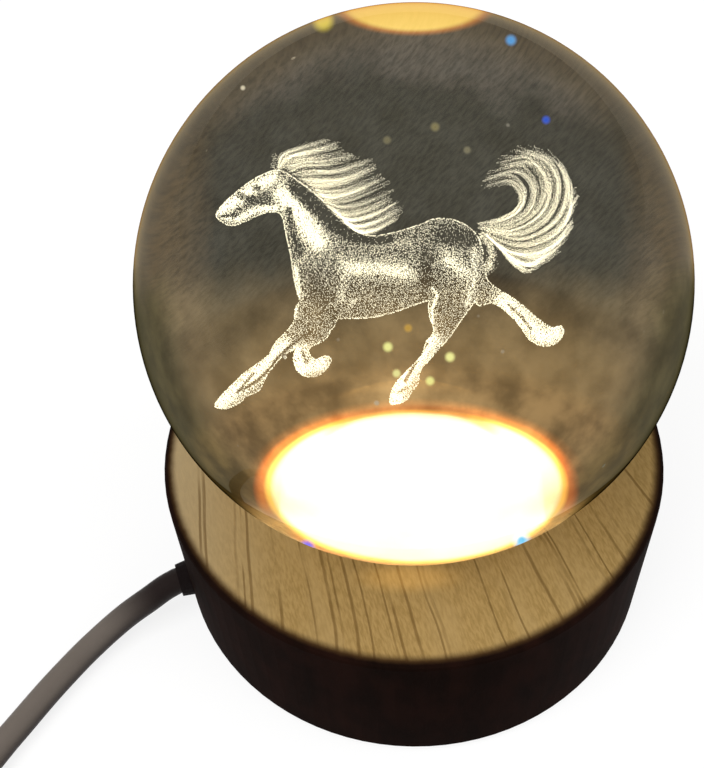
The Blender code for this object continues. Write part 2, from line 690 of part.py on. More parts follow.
def least_gap(route):
    """Smallest space between two stretches of a wound tube that aren't neighbours along it."""
    points = np.array([list(point) for point in route])
    apart = POINTS_PER_TURN // 2
    least = math.inf
    for i in range(len(points) - apart):
        least = min(least, np.linalg.norm(points[i + apart :] - points[i], axis=1).min())
    return float(least) - CORD_DIAMETER


def add_coil(materials):
    """The put-away length, and the strap round its turns. Returns the coil's first and last points."""
    route = coil_route()
    print(f"cord_coil: least gap to itself {least_gap(route) * 1000:.2f} mm")
    add_tube("cord_coil", route, CORD_RADIUS, materials["cord"], resolution=1)

    turned = (STRAP_ANGLE - COIL_START_ANGLE) / math.tau
    outer = COIL_OUTER_RADIUS - COIL_PITCH * turned
    turns_here = math.floor(COIL_TURNS / 2 - turned)
    inner = outer - COIL_PITCH * turns_here
    wide = outer - inner + CORD_DIAMETER + 2 * STRAP_CLEARANCE
    high = COIL_PITCH + CORD_DIAMETER + 2 * GAP
    outward = Vector((math.cos(STRAP_ANGLE), math.sin(STRAP_ANGLE), 0))
    along = tangent_at(STRAP_ANGLE)
    middle = Vector((*COIL_CENTRE, 0)) + outward * (inner + outer) / 2
    middle.z = STRAP_THICKNESS + high / 2

    def section(grow, step):
        outline = rounded_rectangle(wide + 2 * grow, high + 2 * grow, STRAP_CORNER + grow)
        return [middle + outward * x + Vector((0, 0, z)) + along * step for x, z in outline]

    half = STRAP_WIDTH / 2
    sections = [
        section(0, -half),
        section(STRAP_THICKNESS, -half),
        section(STRAP_THICKNESS, half),
        section(0, half),
    ]
    add_object("coil_strap", loft_mesh(sections, cyclic=True), materials["strap"])
    return route[0], route[-1]


def add_free_cord(coil_start, coil_end, material):
    """The stretches that aren't coiled, each meeting its neighbour face to face."""
    floor = CORD_RADIUS + CORD_LIFT
    exit_point = beside_cord(RELIEF_TIP + GAP, 0, CORD_EXIT_HEIGHT)
    start_way = tangent_at(COIL_START_ANGLE)
    coil_face = coil_start - start_way * GAP
    # Route on the table, chosen by hand from the photograph and onward to the coil.
    knots = [
        exit_point,
        Vector((-0.0334, -0.0125, 0.0062)),
        Vector((-0.0353, -0.0137, 0.0055)),
        Vector((-0.0381, -0.0151, 0.0041)),
        Vector((-0.0403, -0.0166, 0.0031)),
        Vector((-0.0424, -0.0185, 0.0024)),
        Vector((-0.0445, -0.0209, 0.0020)),
        Vector((-0.0475, -0.0252, floor)),
        Vector((-0.0504, -0.0300, floor)),
        Vector((-0.0523, -0.0332, floor)),
        Vector((-0.0548, -0.0380, floor)),
        Vector((-0.0560, -0.0427, floor)),
        Vector((-0.0564, -0.0480, floor)),
        Vector((-0.0564, -0.0532, 0.0019)),
        coil_face - start_way * CORD_DIAMETER,
        coil_face,
    ]
    add_tube("power_cord", smooth_route(knots, 2), CORD_RADIUS, material)

    end_way = tangent_at(COIL_START_ANGLE + math.tau * COIL_TURNS)
    switch_left = SWITCH_PLACE[0] - SWITCH_LENGTH / 2
    inside = switch_left + SWITCH_WALL + SWITCH_CORD_INSIDE
    from_coil = coil_end + end_way * GAP
    switch_axis = Vector((0, SWITCH_PLACE[1], SWITCH_CORD_HEIGHT))
    knots = [
        from_coil,
        from_coil + end_way * CORD_DIAMETER,
        Vector((-0.0193, -0.0895, 0.0062)),
        Vector((-0.0125, -0.0861, 0.0053)),
        switch_axis + Vector((switch_left - CORD_DIAMETER, 0, 0)),
        switch_axis + Vector((switch_left, 0, 0)),
        switch_axis + Vector((inside, 0, 0)),
    ]
    add_tube("cord_to_switch", smooth_route(knots, 2), CORD_RADIUS, material)

    switch_right = SWITCH_PLACE[0] + SWITCH_LENGTH / 2
    inside = switch_right - SWITCH_WALL - SWITCH_CORD_INSIDE
    plug_axis = Vector((0, PLUG_PLACE[1], PLUG_BODY_HEIGHT / 2))
    knots = [
        switch_axis + Vector((inside, 0, 0)),
        switch_axis + Vector((switch_right, 0, 0)),
        switch_axis + Vector((switch_right + CORD_DIAMETER, 0, 0)),
        Vector((0.0407, -0.0841, 0.0043)),
        Vector((0.0440, -0.0825, 0.0035)),
        Vector((0.0486, -0.0774, 0.0023)),
        Vector((0.0507, -0.0710, floor)),
        Vector((0.0508, -0.0652, floor)),
        Vector((0.0507, -0.0594, 0.0019)),
        Vector((0.0490, -0.0534, 0.0027)),
        Vector((0.0450, -0.0492, 0.0034)),
        Vector((0.0420, -0.0479, 0.0038)),
        plug_axis + Vector((PLUG_PLACE[0] - PLUG_WAY * CORD_RADIUS, 0, 0)),
        plug_axis + Vector((PLUG_PLACE[0] + PLUG_WAY * PLUG_CORD_INSIDE, 0, 0)),
    ]
    add_tube("cord_to_plug", smooth_route(knots, 2), CORD_RADIUS, material)


def shell_section(inset, height):
    """One outline of the switch housing, drawn in by inset, at a height."""
    length, width = SWITCH_LENGTH - 2 * inset, SWITCH_WIDTH - 2 * inset
    outline = rounded_rectangle(length, width, SWITCH_CORNER - inset, 2 * FILLET_STEPS)
    return [Vector((SWITCH_PLACE[0] + x, SWITCH_PLACE[1] + y, height)) for x, y in outline]


def add_switch(materials):
    """Two hollow shells round a push-switch module, with a button that travels down into it."""
    x, y = SWITCH_PLACE
    parting = SWITCH_CORD_HEIGHT
    corner_step = SWITCH_EDGE_ROUND * (1 - math.cos(math.pi / 4))
    lower = loft_mesh(
        [
            shell_section(SWITCH_EDGE_ROUND, 0),
            shell_section(corner_step, corner_step),
            shell_section(0, SWITCH_EDGE_ROUND),
            shell_section(0, parting - GAP / 2),
            shell_section(SWITCH_WALL, parting - GAP / 2),
            shell_section(SWITCH_WALL, SWITCH_WALL),
        ]
    )
    lower_shell = add_object("switch_lower_shell", lower, materials["shell"])
    cavity_top = SWITCH_HEIGHT - SWITCH_WALL
    upper = loft_mesh(
        [
            shell_section(SWITCH_EDGE_ROUND, SWITCH_HEIGHT),
            shell_section(corner_step, SWITCH_HEIGHT - corner_step),
            shell_section(0, SWITCH_HEIGHT - SWITCH_EDGE_ROUND),
            shell_section(0, parting + GAP / 2),
            shell_section(SWITCH_WALL, parting + GAP / 2),
            shell_section(SWITCH_WALL, cavity_top),
        ]
    )
    upper_shell = add_object("switch_upper_shell", upper, materials["shell"])

    screw_z = GAP
    boss_low, boss_high = SWITCH_WALL + GAP, cavity_top + SWITCH_WALL / 2
    pilot_radius = SWITCH_SCREW_SHANK_RADIUS + GAP
    pilot_high = screw_z + SWITCH_SCREW_LENGTH + PILOT_SPARE
    boss = [
        (0, pilot_high),
        (pilot_radius, pilot_high),
        (pilot_radius, boss_low),
        (SWITCH_BOSS_RADIUS, boss_low),
        (SWITCH_BOSS_RADIUS, boss_high),
        (0, boss_high),
    ]
    bosses, screw_holes = [], []
    for i, side in enumerate((-1, 1), 1):
        place = (x + side * SWITCH_BOSS_PLACE, y, 0)
        mesh = turned_mesh(boss, SMALL_SEGMENTS)
        bosses.append(add_object(f"cutter_boss_{i}", mesh, materials["shell"], place))
        place = (place[0], y, screw_z)
        hole = turned_mesh(screw_outline(*SWITCH_SCREW, GAP, CUT_OVERRUN), SMALL_SEGMENTS)
        screw_holes.append(add_object(f"cutter_switch_screw_{i}", hole, materials["shell"], place))
        screw = turned_mesh(screw_outline(*SWITCH_SCREW), SMALL_SEGMENTS)
        add_object(f"switch_screw_{i}", screw, materials["steel"], place)

    half = SWITCH_LENGTH / 2 + CUT_OVERRUN
    along = towards((1, 0, 0))
    cord_bore = add_rod(
        "cutter_switch_cord", CORD_RADIUS + GAP, -half, half, materials["shell"], (x, y, parting), along
    )
    button_hole = add_rod(
        "cutter_button_hole",
        BUTTON_RADIUS + GAP,
        cavity_top - CUT_OVERRUN,
        SWITCH_HEIGHT + CUT_OVERRUN,
        materials["shell"],
        (x, y, 0),
        segments=DISC_SEGMENTS,
    )
    cut_with(upper_shell, [cord_bore, button_hole])
    cut_with(upper_shell, bosses, "UNION")
    cut_with(lower_shell, [cord_bore, *screw_holes])

    flange_top = cavity_top - GAP
    flange_low = flange_top - BUTTON_FLANGE_THICKNESS
    stem_low = flange_low - BUTTON_STEM_LENGTH
    cap_top = SWITCH_HEIGHT + BUTTON_PROUD
    button = [
        (0, stem_low),
        (BUTTON_STEM_RADIUS, stem_low),
        (BUTTON_STEM_RADIUS, flange_low),
        (BUTTON_FLANGE_RADIUS, flange_low),
        (BUTTON_FLANGE_RADIUS, flange_top),
        (BUTTON_RADIUS, flange_top),
        (BUTTON_RADIUS, cap_top - BUTTON_DOME),
        (BUTTON_RADIUS - BUTTON_DOME, cap_top - BUTTON_DOME / 4),
        (0, cap_top),
    ]
    mesh = turned_mesh(button, DISC_SEGMENTS // 2)
    add_object("switch_button", mesh, materials["button"], (x, y, 0))

    module_low = SWITCH_WALL + GAP
    module_high = stem_low - BUTTON_TRAVEL - GAP
    mesh = box_mesh(MODULE_LENGTH, MODULE_WIDTH, module_high - module_low, MODULE_EDGE_ROUND)
    add_object("switch_module", mesh, materials["component"], (x, y, (module_low + module_high) / 2))


def plug_section(length, width, corner, along):
    """One cross-section of the plug, along metres from the rear end of its neck."""
    outline = rounded_rectangle(length, width, corner)
    axis_z = PLUG_BODY_HEIGHT / 2
    x = PLUG_PLACE[0] + PLUG_WAY * along
    return [Vector((x, PLUG_PLACE[1] + y, axis_z + z)) for y, z in outline]


def add_plug(materials):
    """USB plug: moulded body with a tapered neck, steel sleeve, tongue and contacts."""
    body_rear = PLUG_NECK_LENGTH + PLUG_SHOULDER_LENGTH
    body_front = body_rear + PLUG_BODY_LENGTH
    neck = 2 * PLUG_NECK_RADIUS
    full = (PLUG_BODY_WIDTH, PLUG_BODY_HEIGHT, PLUG_BODY_CORNER)
    front = tuple(size - 2 * PLUG_FRONT_ROUND for size in full[:2])
    body = loft_mesh(
        [
            plug_section(neck, neck, PLUG_NECK_RADIUS, 0),
            plug_section(*(neck + CORD_RADIUS,) * 2, PLUG_NECK_RADIUS, PLUG_NECK_LENGTH),
            plug_section(*full, body_rear),
            plug_section(*full, body_front - PLUG_FRONT_ROUND),
            plug_section(*front, PLUG_BODY_CORNER - PLUG_FRONT_ROUND, body_front),
        ]
    )
    plug_body = add_object("plug_body", body, materials["shell"])
    place = Vector((*PLUG_PLACE, PLUG_BODY_HEIGHT / 2))
    way = Vector((PLUG_WAY, 0, 0))
    cord_hole = add_rod(
        "cutter_plug_cord",
        CORD_RADIUS + GAP,
        -CUT_OVERRUN,
        PLUG_CORD_INSIDE + GAP,
        materials["shell"],
        place,
        towards(way),
    )
    grow = 2 * GAP
    socket_size = (SHELL_WIDTH + grow, SHELL_HEIGHT + grow, SHELL_CORNER + GAP)
    shell_rear = body_front - SHELL_INSIDE
    socket = loft_mesh(
        [
            plug_section(*socket_size, shell_rear - GAP),
            plug_section(*socket_size, body_front + CUT_OVERRUN),
        ]
    )
    socket = add_object("cutter_plug_socket", socket, materials["shell"])
    cut_with(plug_body, [cord_hole, socket])

    shell_front = body_front + SHELL_REACH
    outer = (SHELL_WIDTH, SHELL_HEIGHT, SHELL_CORNER)
    inner = (SHELL_WIDTH - 2 * SHELL_WALL, SHELL_HEIGHT - 2 * SHELL_WALL, SHELL_CORNER - SHELL_WALL)
    sleeve = loft_mesh(
        [
            plug_section(*inner, shell_rear),
            plug_section(*outer, shell_rear),
            plug_section(*outer, shell_front),
            plug_section(*inner, shell_front),
        ],
        cyclic=True,
    )
    sleeve = add_object("plug_sleeve", sleeve, materials["steel"])
    windows = []
    back, across = SHELL_WINDOW_PLACE
    for i, side in enumerate((-1, 1), 1):
        mesh = box_mesh(*SHELL_WINDOW, SHELL_HEIGHT + CUT_OVERRUN)
        middle = place + way * (shell_front - back) + Vector((0, side * across, 0))
        windows.append(add_object(f"cutter_sleeve_window_{i}", mesh, materials["steel"], middle))
    cut_with(sleeve, windows)

    tongue_low = -SHELL_HEIGHT / 2 + SHELL_WALL + GAP
    tongue_width = inner[0] - 2 * GAP
    tongue_front = shell_front - TONGUE_SETBACK
    mesh = box_mesh(tongue_front - shell_rear, tongue_width, TONGUE_HEIGHT)
    middle = place + way * (tongue_front + shell_rear) / 2
    middle.z += tongue_low + TONGUE_HEIGHT / 2
    add_object("plug_tongue", mesh, materials["component"], middle)
    contact_z = tongue_low + TONGUE_HEIGHT + FINE_GAP + CONTACT_HEIGHT / 2
    contact_x = tongue_front - CONTACT_SETBACK - CONTACT_LENGTH / 2
    for i in range(CONTACT_COUNT):
        mesh = box_mesh(CONTACT_LENGTH, CONTACT_WIDTH, CONTACT_HEIGHT)
        offset = (i - (CONTACT_COUNT - 1) / 2) * CONTACT_PITCH
        middle = place + way * contact_x + Vector((0, offset, contact_z))
        add_object(f"plug_contact_{i + 1}", mesh, materials["gold"], middle)


def main():
    clear_scene()
    materials = make_materials()
    add_ball(materials["glass"])
    add_wooden_base(materials["wood"])
    add_window(materials["window"])
    add_led_board(materials)
    add_board_screws(materials["steel"])
    add_bottom_cover(materials)
    add_strain_relief(materials["relief"])
    add_cord_inside_base(materials)
    coil_start, coil_end = add_coil(materials)
    add_free_cord(coil_start, coil_end, materials["cord"])
    add_switch(materials)
    add_plug(materials)


main()
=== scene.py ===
"""Looks of the crystal ball lamp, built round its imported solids. Metres, +Z up."""

import json
import math
from types import SimpleNamespace

import bmesh
import bpy
import numpy as np
from mathutils import Matrix, Vector


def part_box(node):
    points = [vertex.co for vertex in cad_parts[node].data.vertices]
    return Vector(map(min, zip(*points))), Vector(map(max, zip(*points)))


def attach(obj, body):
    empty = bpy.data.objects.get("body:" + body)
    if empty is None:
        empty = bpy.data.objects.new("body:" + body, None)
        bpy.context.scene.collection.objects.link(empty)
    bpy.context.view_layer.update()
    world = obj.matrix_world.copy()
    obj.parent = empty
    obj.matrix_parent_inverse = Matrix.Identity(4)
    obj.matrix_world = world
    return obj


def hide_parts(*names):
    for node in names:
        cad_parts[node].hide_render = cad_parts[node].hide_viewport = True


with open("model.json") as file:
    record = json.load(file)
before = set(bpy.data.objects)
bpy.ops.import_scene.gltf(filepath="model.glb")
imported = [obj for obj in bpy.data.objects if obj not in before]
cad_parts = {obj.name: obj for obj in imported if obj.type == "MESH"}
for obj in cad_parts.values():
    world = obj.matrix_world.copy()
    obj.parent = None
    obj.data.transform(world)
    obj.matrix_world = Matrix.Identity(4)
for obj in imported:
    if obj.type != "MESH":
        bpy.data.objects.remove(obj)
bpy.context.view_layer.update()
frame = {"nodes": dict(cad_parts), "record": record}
nodes = frame["nodes"]
MM = 0.001

# Photograph's view, and the ball's outline in it, in pixels
IMAGE_WIDTH = 704
IMAGE_HEIGHT = 768
FOCAL_PIXELS = 1068.35
SENSOR_MM = 36
CAMERA_PLACE = Vector((0, -84.98, 132.42)) * MM
CAMERA_RIGHT = Vector((0.99849, 0.03095, -0.04530))
CAMERA_UP = Vector((0.00610, 0.75786, 0.65239))
BALL_IMAGE_CENTRE = (414, 284)
BALL_IMAGE_RADIUS = 281

# Places that follow from the solids
ball_low, ball_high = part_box("crystal_ball")
BALL_CENTRE = (ball_low + ball_high) / 2
BALL_RADIUS = (ball_high.z - ball_low.z) / 2
BASE_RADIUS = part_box("wooden_base")[1].x
TO_EYE = (CAMERA_PLACE - BALL_CENTRE).normalized()

# Cord's route, as in the part's source
CORD_DIAMETER = 3.5 * MM
CORD_EXIT_ANGLE = math.radians(-160)
CORD_EXIT_WAY = Vector((math.cos(CORD_EXIT_ANGLE), math.sin(CORD_EXIT_ANGLE), 0))
CORD_EXIT_REACH = 33.8 * MM
CORD_EXIT_HEIGHT = 6.5 * MM
CORD_EXIT = CORD_EXIT_WAY * CORD_EXIT_REACH + Vector((0, 0, CORD_EXIT_HEIGHT))
CORD_HEIGHT = CORD_DIAMETER / 2 + 0.1 * MM  # of its axis where it lies on the table
CORD_IN_RELIEF = 0.5 * MM
CORD_IN_SWITCH = 5 * MM
CORD_IN_PLUG = 4 * MM
CORD_STEPS = 6  # from each point of the route to the next
COIL_CENTRE = Vector((-31.4, -65.6, 0)) * MM
COIL_MEAN_RADIUS = 17.6 * MM
COIL_TURNS = 7.25
COIL_START = math.radians(180)
COIL_PITCH = 4.1 * MM
COIL_LOW = 2.65 * MM
COIL_STEPS = 48  # a turn
SWITCH_CENTRE = Vector((15, -84.5, 4.8)) * MM
SWITCH_LENGTH = 38 * MM
PLUG_NECK = Vector((37, -47.5, 3.9)) * MM

# Wood. The scales are across, along and down the grain, a metre.
GRAIN_ANGLE = math.radians(-18)
GRAIN_DRIFT = 2.0 * MM
GRAIN_FAN = 5.5  # how much closer the pore lines lie towards the back, a metre
DRIFT_SCALE = (90, 45, 60)
FIBRE_SCALE = (3800, 900, 900)
PATCH_SCALE = (260, 70, 120)
PORE_LINES = (  # pitch, width, share of them that show, and offset
    (2.3 * MM, 0.22 * MM, 0.9, 0.0),
    (3.1 * MM, 0.14 * MM, 0.6, 0.31),
)
PORE_BREAKS = 60.0  # a metre, along each line
LINES_APART = 50.0  # steps in the noise from one line to another, so that they break at different places
SIDE_EDGE_INSET = 0.80 * MM  # of the dark side's edge from the base's radius
SIDE_EDGE_RAGGED = 0.25 * MM
# Painted shade on the top's rounded edge, from inside to outside the dark side's edge
EDGE_SHADE_INSIDE = 1.0 * MM
EDGE_SHADE_OUTSIDE = 0.1 * MM
SIDE_EDGE_INSIDE = 0.20 * MM
SIDE_EDGE_OUTSIDE = 0.45 * MM
# Painted light: the top paler towards the left
LEFT_PAINTED_LIGHT_FROM = -12 * MM
LEFT_PAINTED_LIGHT_TO = -34 * MM

# Light of the LEDs on the window, their painted glow on the seat, and a painted pool of the faint light that
# the ball throws on the wood in front
SPILL_ACROSS = 16.1 * MM
SPILL_DEEP = 12.9 * MM
SPILL_STRENGTH = 3.0
SPILL_EDGE_STRENGTH = 1.5
SPILL_RAGGED_SHARE = 0.03
POOL_CENTRE = Vector((-0.4, -20.6, 0)) * MM
POOL_ACROSS = 7.5 * MM
POOL_DEEP = 2.6 * MM
POOL_STRENGTH = 0.20

# Glass. The low index puts the lit window where the photograph shows it, and the blur of rays that leave the
# ball stands for a background out of focus.
GLASS_IOR = 1.12
EXIT_ROUGHNESS = 0.62
SPECKS_SCALE = 380.0
BALL_SEGMENTS = 192
BALL_RINGS = 96

# Zones of the ball, across and up from its centre in the photograph's view, in its radii there
DISC_CENTRE = (0.009, -0.722)
DISC_RADII = (0.553, 0.283)
# Painted halo of glow round the disc
PAINTED_HALO_CENTRE = (0.02, -0.45)
PAINTED_HALO_RADII = (0.55, 0.40)
# Painted crescent of gathered light at the top of the ball
PAINTED_CRESCENT_CENTRE = (0.0, 1.0)
PAINTED_CRESCENT_RADII = (0.27, 0.105)
HOOF_ACROSS = -0.03  # where the glass stays clear in front of the hind hoof
ZONES_WANDER = 0.34  # how far their edges wander
ZONES_SAG = 0.36  # and how far they sag to the sides
PAINTED_DARK_GRAIN_ALONG = 22.0  # scales of the slanting grain in the painted dark reflection in the glass
PAINTED_DARK_GRAIN_ACROSS = 80.0

# Painted glints in the same units: place across and up, radius and colour
PAINTED_GLINTS = (
    (-0.324, 0.938, 0.050, (0.80, 0.72, 0.08)),
    (0.345, 0.868, 0.026, (0.10, 0.40, 1.00)),
    (0.470, 0.584, 0.020, (0.04, 0.10, 0.55)),
    (-0.381, -0.938, 0.036, (0.02, 0.08, 0.95)),
    (0.384, -0.915, 0.042, (0.16, 0.62, 0.95)),
    (-0.093, -0.224, 0.024, (0.85, 0.84, 0.30)),
    (-0.021, -0.157, 0.020, (0.50, 0.30, 0.06)),
    (0.128, -0.260, 0.024, (0.88, 0.86, 0.32)),
    (0.057, -0.345, 0.022, (0.85, 0.82, 0.28)),
    (-0.062, -0.318, 0.020, (0.80, 0.76, 0.30)),
    (0.075, 0.559, 0.022, (0.22, 0.19, 0.09)),
    (-0.096, 0.512, 0.020, (0.18, 0.16, 0.09)),
    (0.189, 0.477, 0.018, (0.20, 0.18, 0.11)),
    (-0.609, 0.698, 0.012, (0.75, 0.72, 0.60)),
)

# Surfaces that differ only in colour, gloss and grain
METAL = dict(grain=1500.0, uneven=0.06, relief=0.004 * MM, metallic=1.0)
PLAIN_LOOKS = {
    "board_white": dict(colour=(0.75, 0.75, 0.72), roughness=0.35),
    "led_phosphor": dict(colour=(0.90, 0.70, 0.18), roughness=0.4, grain=5000.0),
    "component_black": dict(colour=(0.022, 0.022, 0.024), roughness=0.45),
    "solder": dict(colour=(0.62, 0.62, 0.63), roughness=0.28, **METAL),
    "red_insulation": dict(colour=(0.50, 0.02, 0.015), roughness=0.4),
    "black_insulation": dict(colour=(0.018, 0.018, 0.018), roughness=0.4),
    "steel": dict(colour=(0.62, 0.62, 0.64), roughness=0.25, **METAL),
    "gold_plating": dict(colour=(0.85, 0.60, 0.20), roughness=0.25, **METAL),
    "cover_plastic": dict(colour=(0.020, 0.012, 0.010), roughness=0.5, relief=0.03 * MM),
    "foot_rubber": dict(colour=(0.030, 0.030, 0.030), roughness=0.8, relief=0.03 * MM),
    "relief_rubber": dict(colour=(0.008, 0.005, 0.005), roughness=0.7, Specular_IOR_Level=0.1),
    "nylon": dict(colour=(0.62, 0.62, 0.58), roughness=0.4),
    "switch_plastic": dict(colour=(0.145, 0.122, 0.105), roughness=0.42, relief=0.02 * MM),
    "button_plastic": dict(colour=(0.030, 0.026, 0.024), roughness=0.35),
}

# Stage
FLOOR_SIZE = 3.0
FLOOR_GREY = (0.80, 0.80, 0.80, 1)
FLOOR_GLOW = 0.80  # what the camera sees of it without any lamp
FLOOR_LIT = (0.22, 0.22, 0.22, 1)  # what lamps and world add to that, so that the shadow shows
WORLD_COLOUR = (1.0, 0.99, 0.97, 1)
WORLD_STRENGTH = 0.55
LAMP_AIM = Vector((0, 0, 0.03))
LAMPS = (("key", (-0.35, -0.30, 0.55), 0.45, 3.2), ("fill", (0.45, -0.10, 0.40), 0.50, 1.6))
CLIP_START = 5 * MM
CLIP_END = 20


def smooth_route(knots, steps):
    """Points of a smooth curve through the knots, with steps of them from each knot to the next."""
    ends = [2 * knots[0] - knots[1], *knots, 2 * knots[-1] - knots[-2]]
    route = []
    for before, start, end, after in zip(ends, ends[1:], ends[2:], ends[3:]):
        for i in range(steps):
            t = i / steps
            straight = 2 * start + (end - before) * t
            bend = (2 * before - 5 * start + 4 * end - after) * t**2
            twist = (3 * start - before - 3 * end + after) * t**3
            route.append(0.5 * (straight + bend + twist))
    return [*route, knots[-1].copy()]


def link(name, data):
    """Puts a mesh, curve, lamp or camera in the scene."""
    thing = bpy.data.objects.new(name, data)
    bpy.context.scene.collection.objects.link(thing)
    return thing


def add_tube(name, route, radius, material):
    curve = bpy.data.curves.new(name, "CURVE")
    curve.dimensions = "3D"
    curve.bevel_depth = radius
    curve.bevel_resolution = 4
    curve.use_fill_caps = True
    spline = curve.splines.new("POLY")
    spline.points.add(len(route) - 1)
    for point, place in zip(spline.points, route):
        point.co = (*place, 1)
    spline.use_smooth = True
    curve.materials.append(material)
    return link(name, curve)


def add_mesh(name, mesh, material):
    """Puts a finished bmesh in the scene, with smooth shading."""
    bmesh.ops.recalc_face_normals(mesh, faces=mesh.faces)
    data = bpy.data.meshes.new(name)
    mesh.to_mesh(data)
    mesh.free()
    data.shade_smooth()
    data.materials.append(material)
    return link(name, data)


class Nodes:
    """A material's node tree, with short calls to add and link nodes."""

    def __init__(self, name):
        self.material = bpy.data.materials.new(name)
        self.material.use_nodes = True
        self.tree = self.material.node_tree
        self.shader = self.tree.nodes["Principled BSDF"]
        self.output = self.tree.nodes["Material Output"]

    def add(self, kind, inputs=None, **settings):
        node = self.tree.nodes.new("ShaderNode" + kind)
        for key, value in settings.items():
            setattr(node, key, value)
        for key, value in (inputs or {}).items():
            self.put(node, key, value)
        return node

    def put(self, node, key, value):
        """Sets a socket to a value, or links it where the value is a node or a socket."""
        if isinstance(value, bpy.types.Node):
            value = next(socket for socket in value.outputs if socket.enabled)
        if isinstance(value, bpy.types.NodeSocket):
            self.tree.links.new(value, node.inputs[key])
        else:
            node.inputs[key].default_value = value

    def finish(self, **inputs):
        for key, value in inputs.items():
            self.put(self.shader, key.replace("_", " "), value)
        return self.material

    def math(self, operation, *values):
        return self.add("Math", dict(enumerate(values)), operation=operation)

    def product(self, first, *others):
        for other in others:
            first = self.math("MULTIPLY", first, other)
        return first

    def ramp(self, value, low, high, to_low=0.0, to_high=1.0):
        """value from low..high, smoothly, to to_low..to_high."""
        inputs = {
            "Value": value,
            "From Min": low,
            "From Max": high,
            "To Min": to_low,
            "To Max": to_high,
        }
        return self.add("MapRange", inputs, interpolation_type="SMOOTHSTEP")

    def mix(self, factor, first, second, blend="MIX"):
        """Mixes two colours. The Mix node has its colours in sockets 6 and 7, and the mix in output 2."""
        node = self.add("Mix", data_type="RGBA", blend_type=blend)
        self.put(node, 0, factor)
        self.put(node, 6, (*first, 1) if isinstance(first, tuple) else first)
        self.put(node, 7, (*second, 1) if isinstance(second, tuple) else second)
        return node.outputs[2]

    def shade(self, colour, value):
        """A colour times a value."""
        grey = self.add("CombineColor", {0: value, 1: value, 2: value}).outputs[0]
        return self.mix(1.0, colour, grey, "MULTIPLY")

    def spot(self):
        """Object position, which is the place in the room at rest."""
        return self.add("TexCoord").outputs["Object"]

    def place(self, scale=(1, 1, 1), turn=0.0):
        """Object position, turned about Z and scaled."""
        inputs = {"Vector": self.spot(), "Angle": turn}
        turned = self.add("VectorRotate", inputs, rotation_type="Z_AXIS")
        return self.add("VectorMath", {0: turned, 1: scale}, operation="MULTIPLY")

    def offset(self, where, centre):
        return self.add("VectorMath", {0: where, 1: tuple(centre)}, operation="SUBTRACT")

    def length(self, vector, scale):
        """Length of a vector once it's scaled."""
        scaled = self.add("VectorMath", {0: vector, 1: scale}, operation="MULTIPLY")
        return self.add("VectorMath", {0: scaled}, operation="LENGTH").outputs["Value"]

    def distance(self, where, centre):
        inputs = {0: where, 1: tuple(centre)}
        return self.add("VectorMath", inputs, operation="DISTANCE").outputs["Value"]

    def along(self, vector, direction):
        """A vector's component along a fixed direction."""
        inputs = {0: vector, 1: tuple(direction)}
        return self.add("VectorMath", inputs, operation="DOT_PRODUCT").outputs["Value"]

    def noise(self, scale, place=None, detail=3.0, roughness=0.55):
        inputs = {"Scale": scale, "Detail": detail, "Roughness": roughness}
        inputs["Vector"] = place or self.spot()
        return self.add("TexNoise", inputs).outputs[0]

    def wander(self, noise, reach):
        """Noise spread evenly about nothing, reach wide."""
        return self.product(self.math("SUBTRACT", noise, 0.5), reach)

    def bump(self, height, distance, strength=1.0):
        return self.add("Bump", {"Height": height, "Distance": distance, "Strength": strength})


def image_place(n, where):
    """Where a point of the ball shows in the photograph: across and up from its centre, in its radii."""
    sight = n.offset(where, CAMERA_PLACE)
    back = n.along(sight, CAMERA_RIGHT.cross(CAMERA_UP))
    scale = -FOCAL_PIXELS / BALL_IMAGE_RADIUS
    middle_across = (IMAGE_WIDTH / 2 - BALL_IMAGE_CENTRE[0]) / BALL_IMAGE_RADIUS
    middle_up = (BALL_IMAGE_CENTRE[1] - IMAGE_HEIGHT / 2) / BALL_IMAGE_RADIUS
    right = n.math("DIVIDE", n.along(sight, CAMERA_RIGHT), back)
    rise = n.math("DIVIDE", n.along(sight, CAMERA_UP), back)
    across = n.math("MULTIPLY_ADD", right, scale, middle_across)
    return across, n.math("MULTIPLY_ADD", rise, scale, middle_up)


def from_ellipse(n, across, up, centre, radii):
    """Distance from the middle of an ellipse in the photograph's view of the ball, 1 on its edge."""
    place = n.add("CombineXYZ", {0: across, 1: up})
    return n.length(n.offset(place, (*centre, 0)), (1 / radii[0], 1 / radii[1], 0))


def ball_zones(n):
    """What the ball's colours follow: places in the photograph's view, and shares from 0 to 1."""
    where = n.spot()
    across, up = image_place(n, where)
    out = n.along(n.offset(where, BALL_CENTRE), TO_EYE / BALL_RADIUS)
    wander = n.wander(n.noise(90.0, detail=5.0, roughness=0.65), ZONES_WANDER)
    facing = n.add("LayerWeight", {"Blend": 0.5}).outputs["Facing"]
    disc = from_ellipse(n, across, up, DISC_CENTRE, DISC_RADII)
    return SimpleNamespace(
        where=where,
        across=across,
        up=up,
        aside=n.math("ABSOLUTE", across),
        wander=wander,
        front=n.ramp(out, 0.10, 0.25),
        low=n.ramp(n.math("ADD", up, wander), 0.10, -0.12),
        facing=facing,
        rim=n.ramp(facing, 0.40, 0.64),
        disc=disc,
        around_disc=n.ramp(disc, 1.66, 1.40),
    )


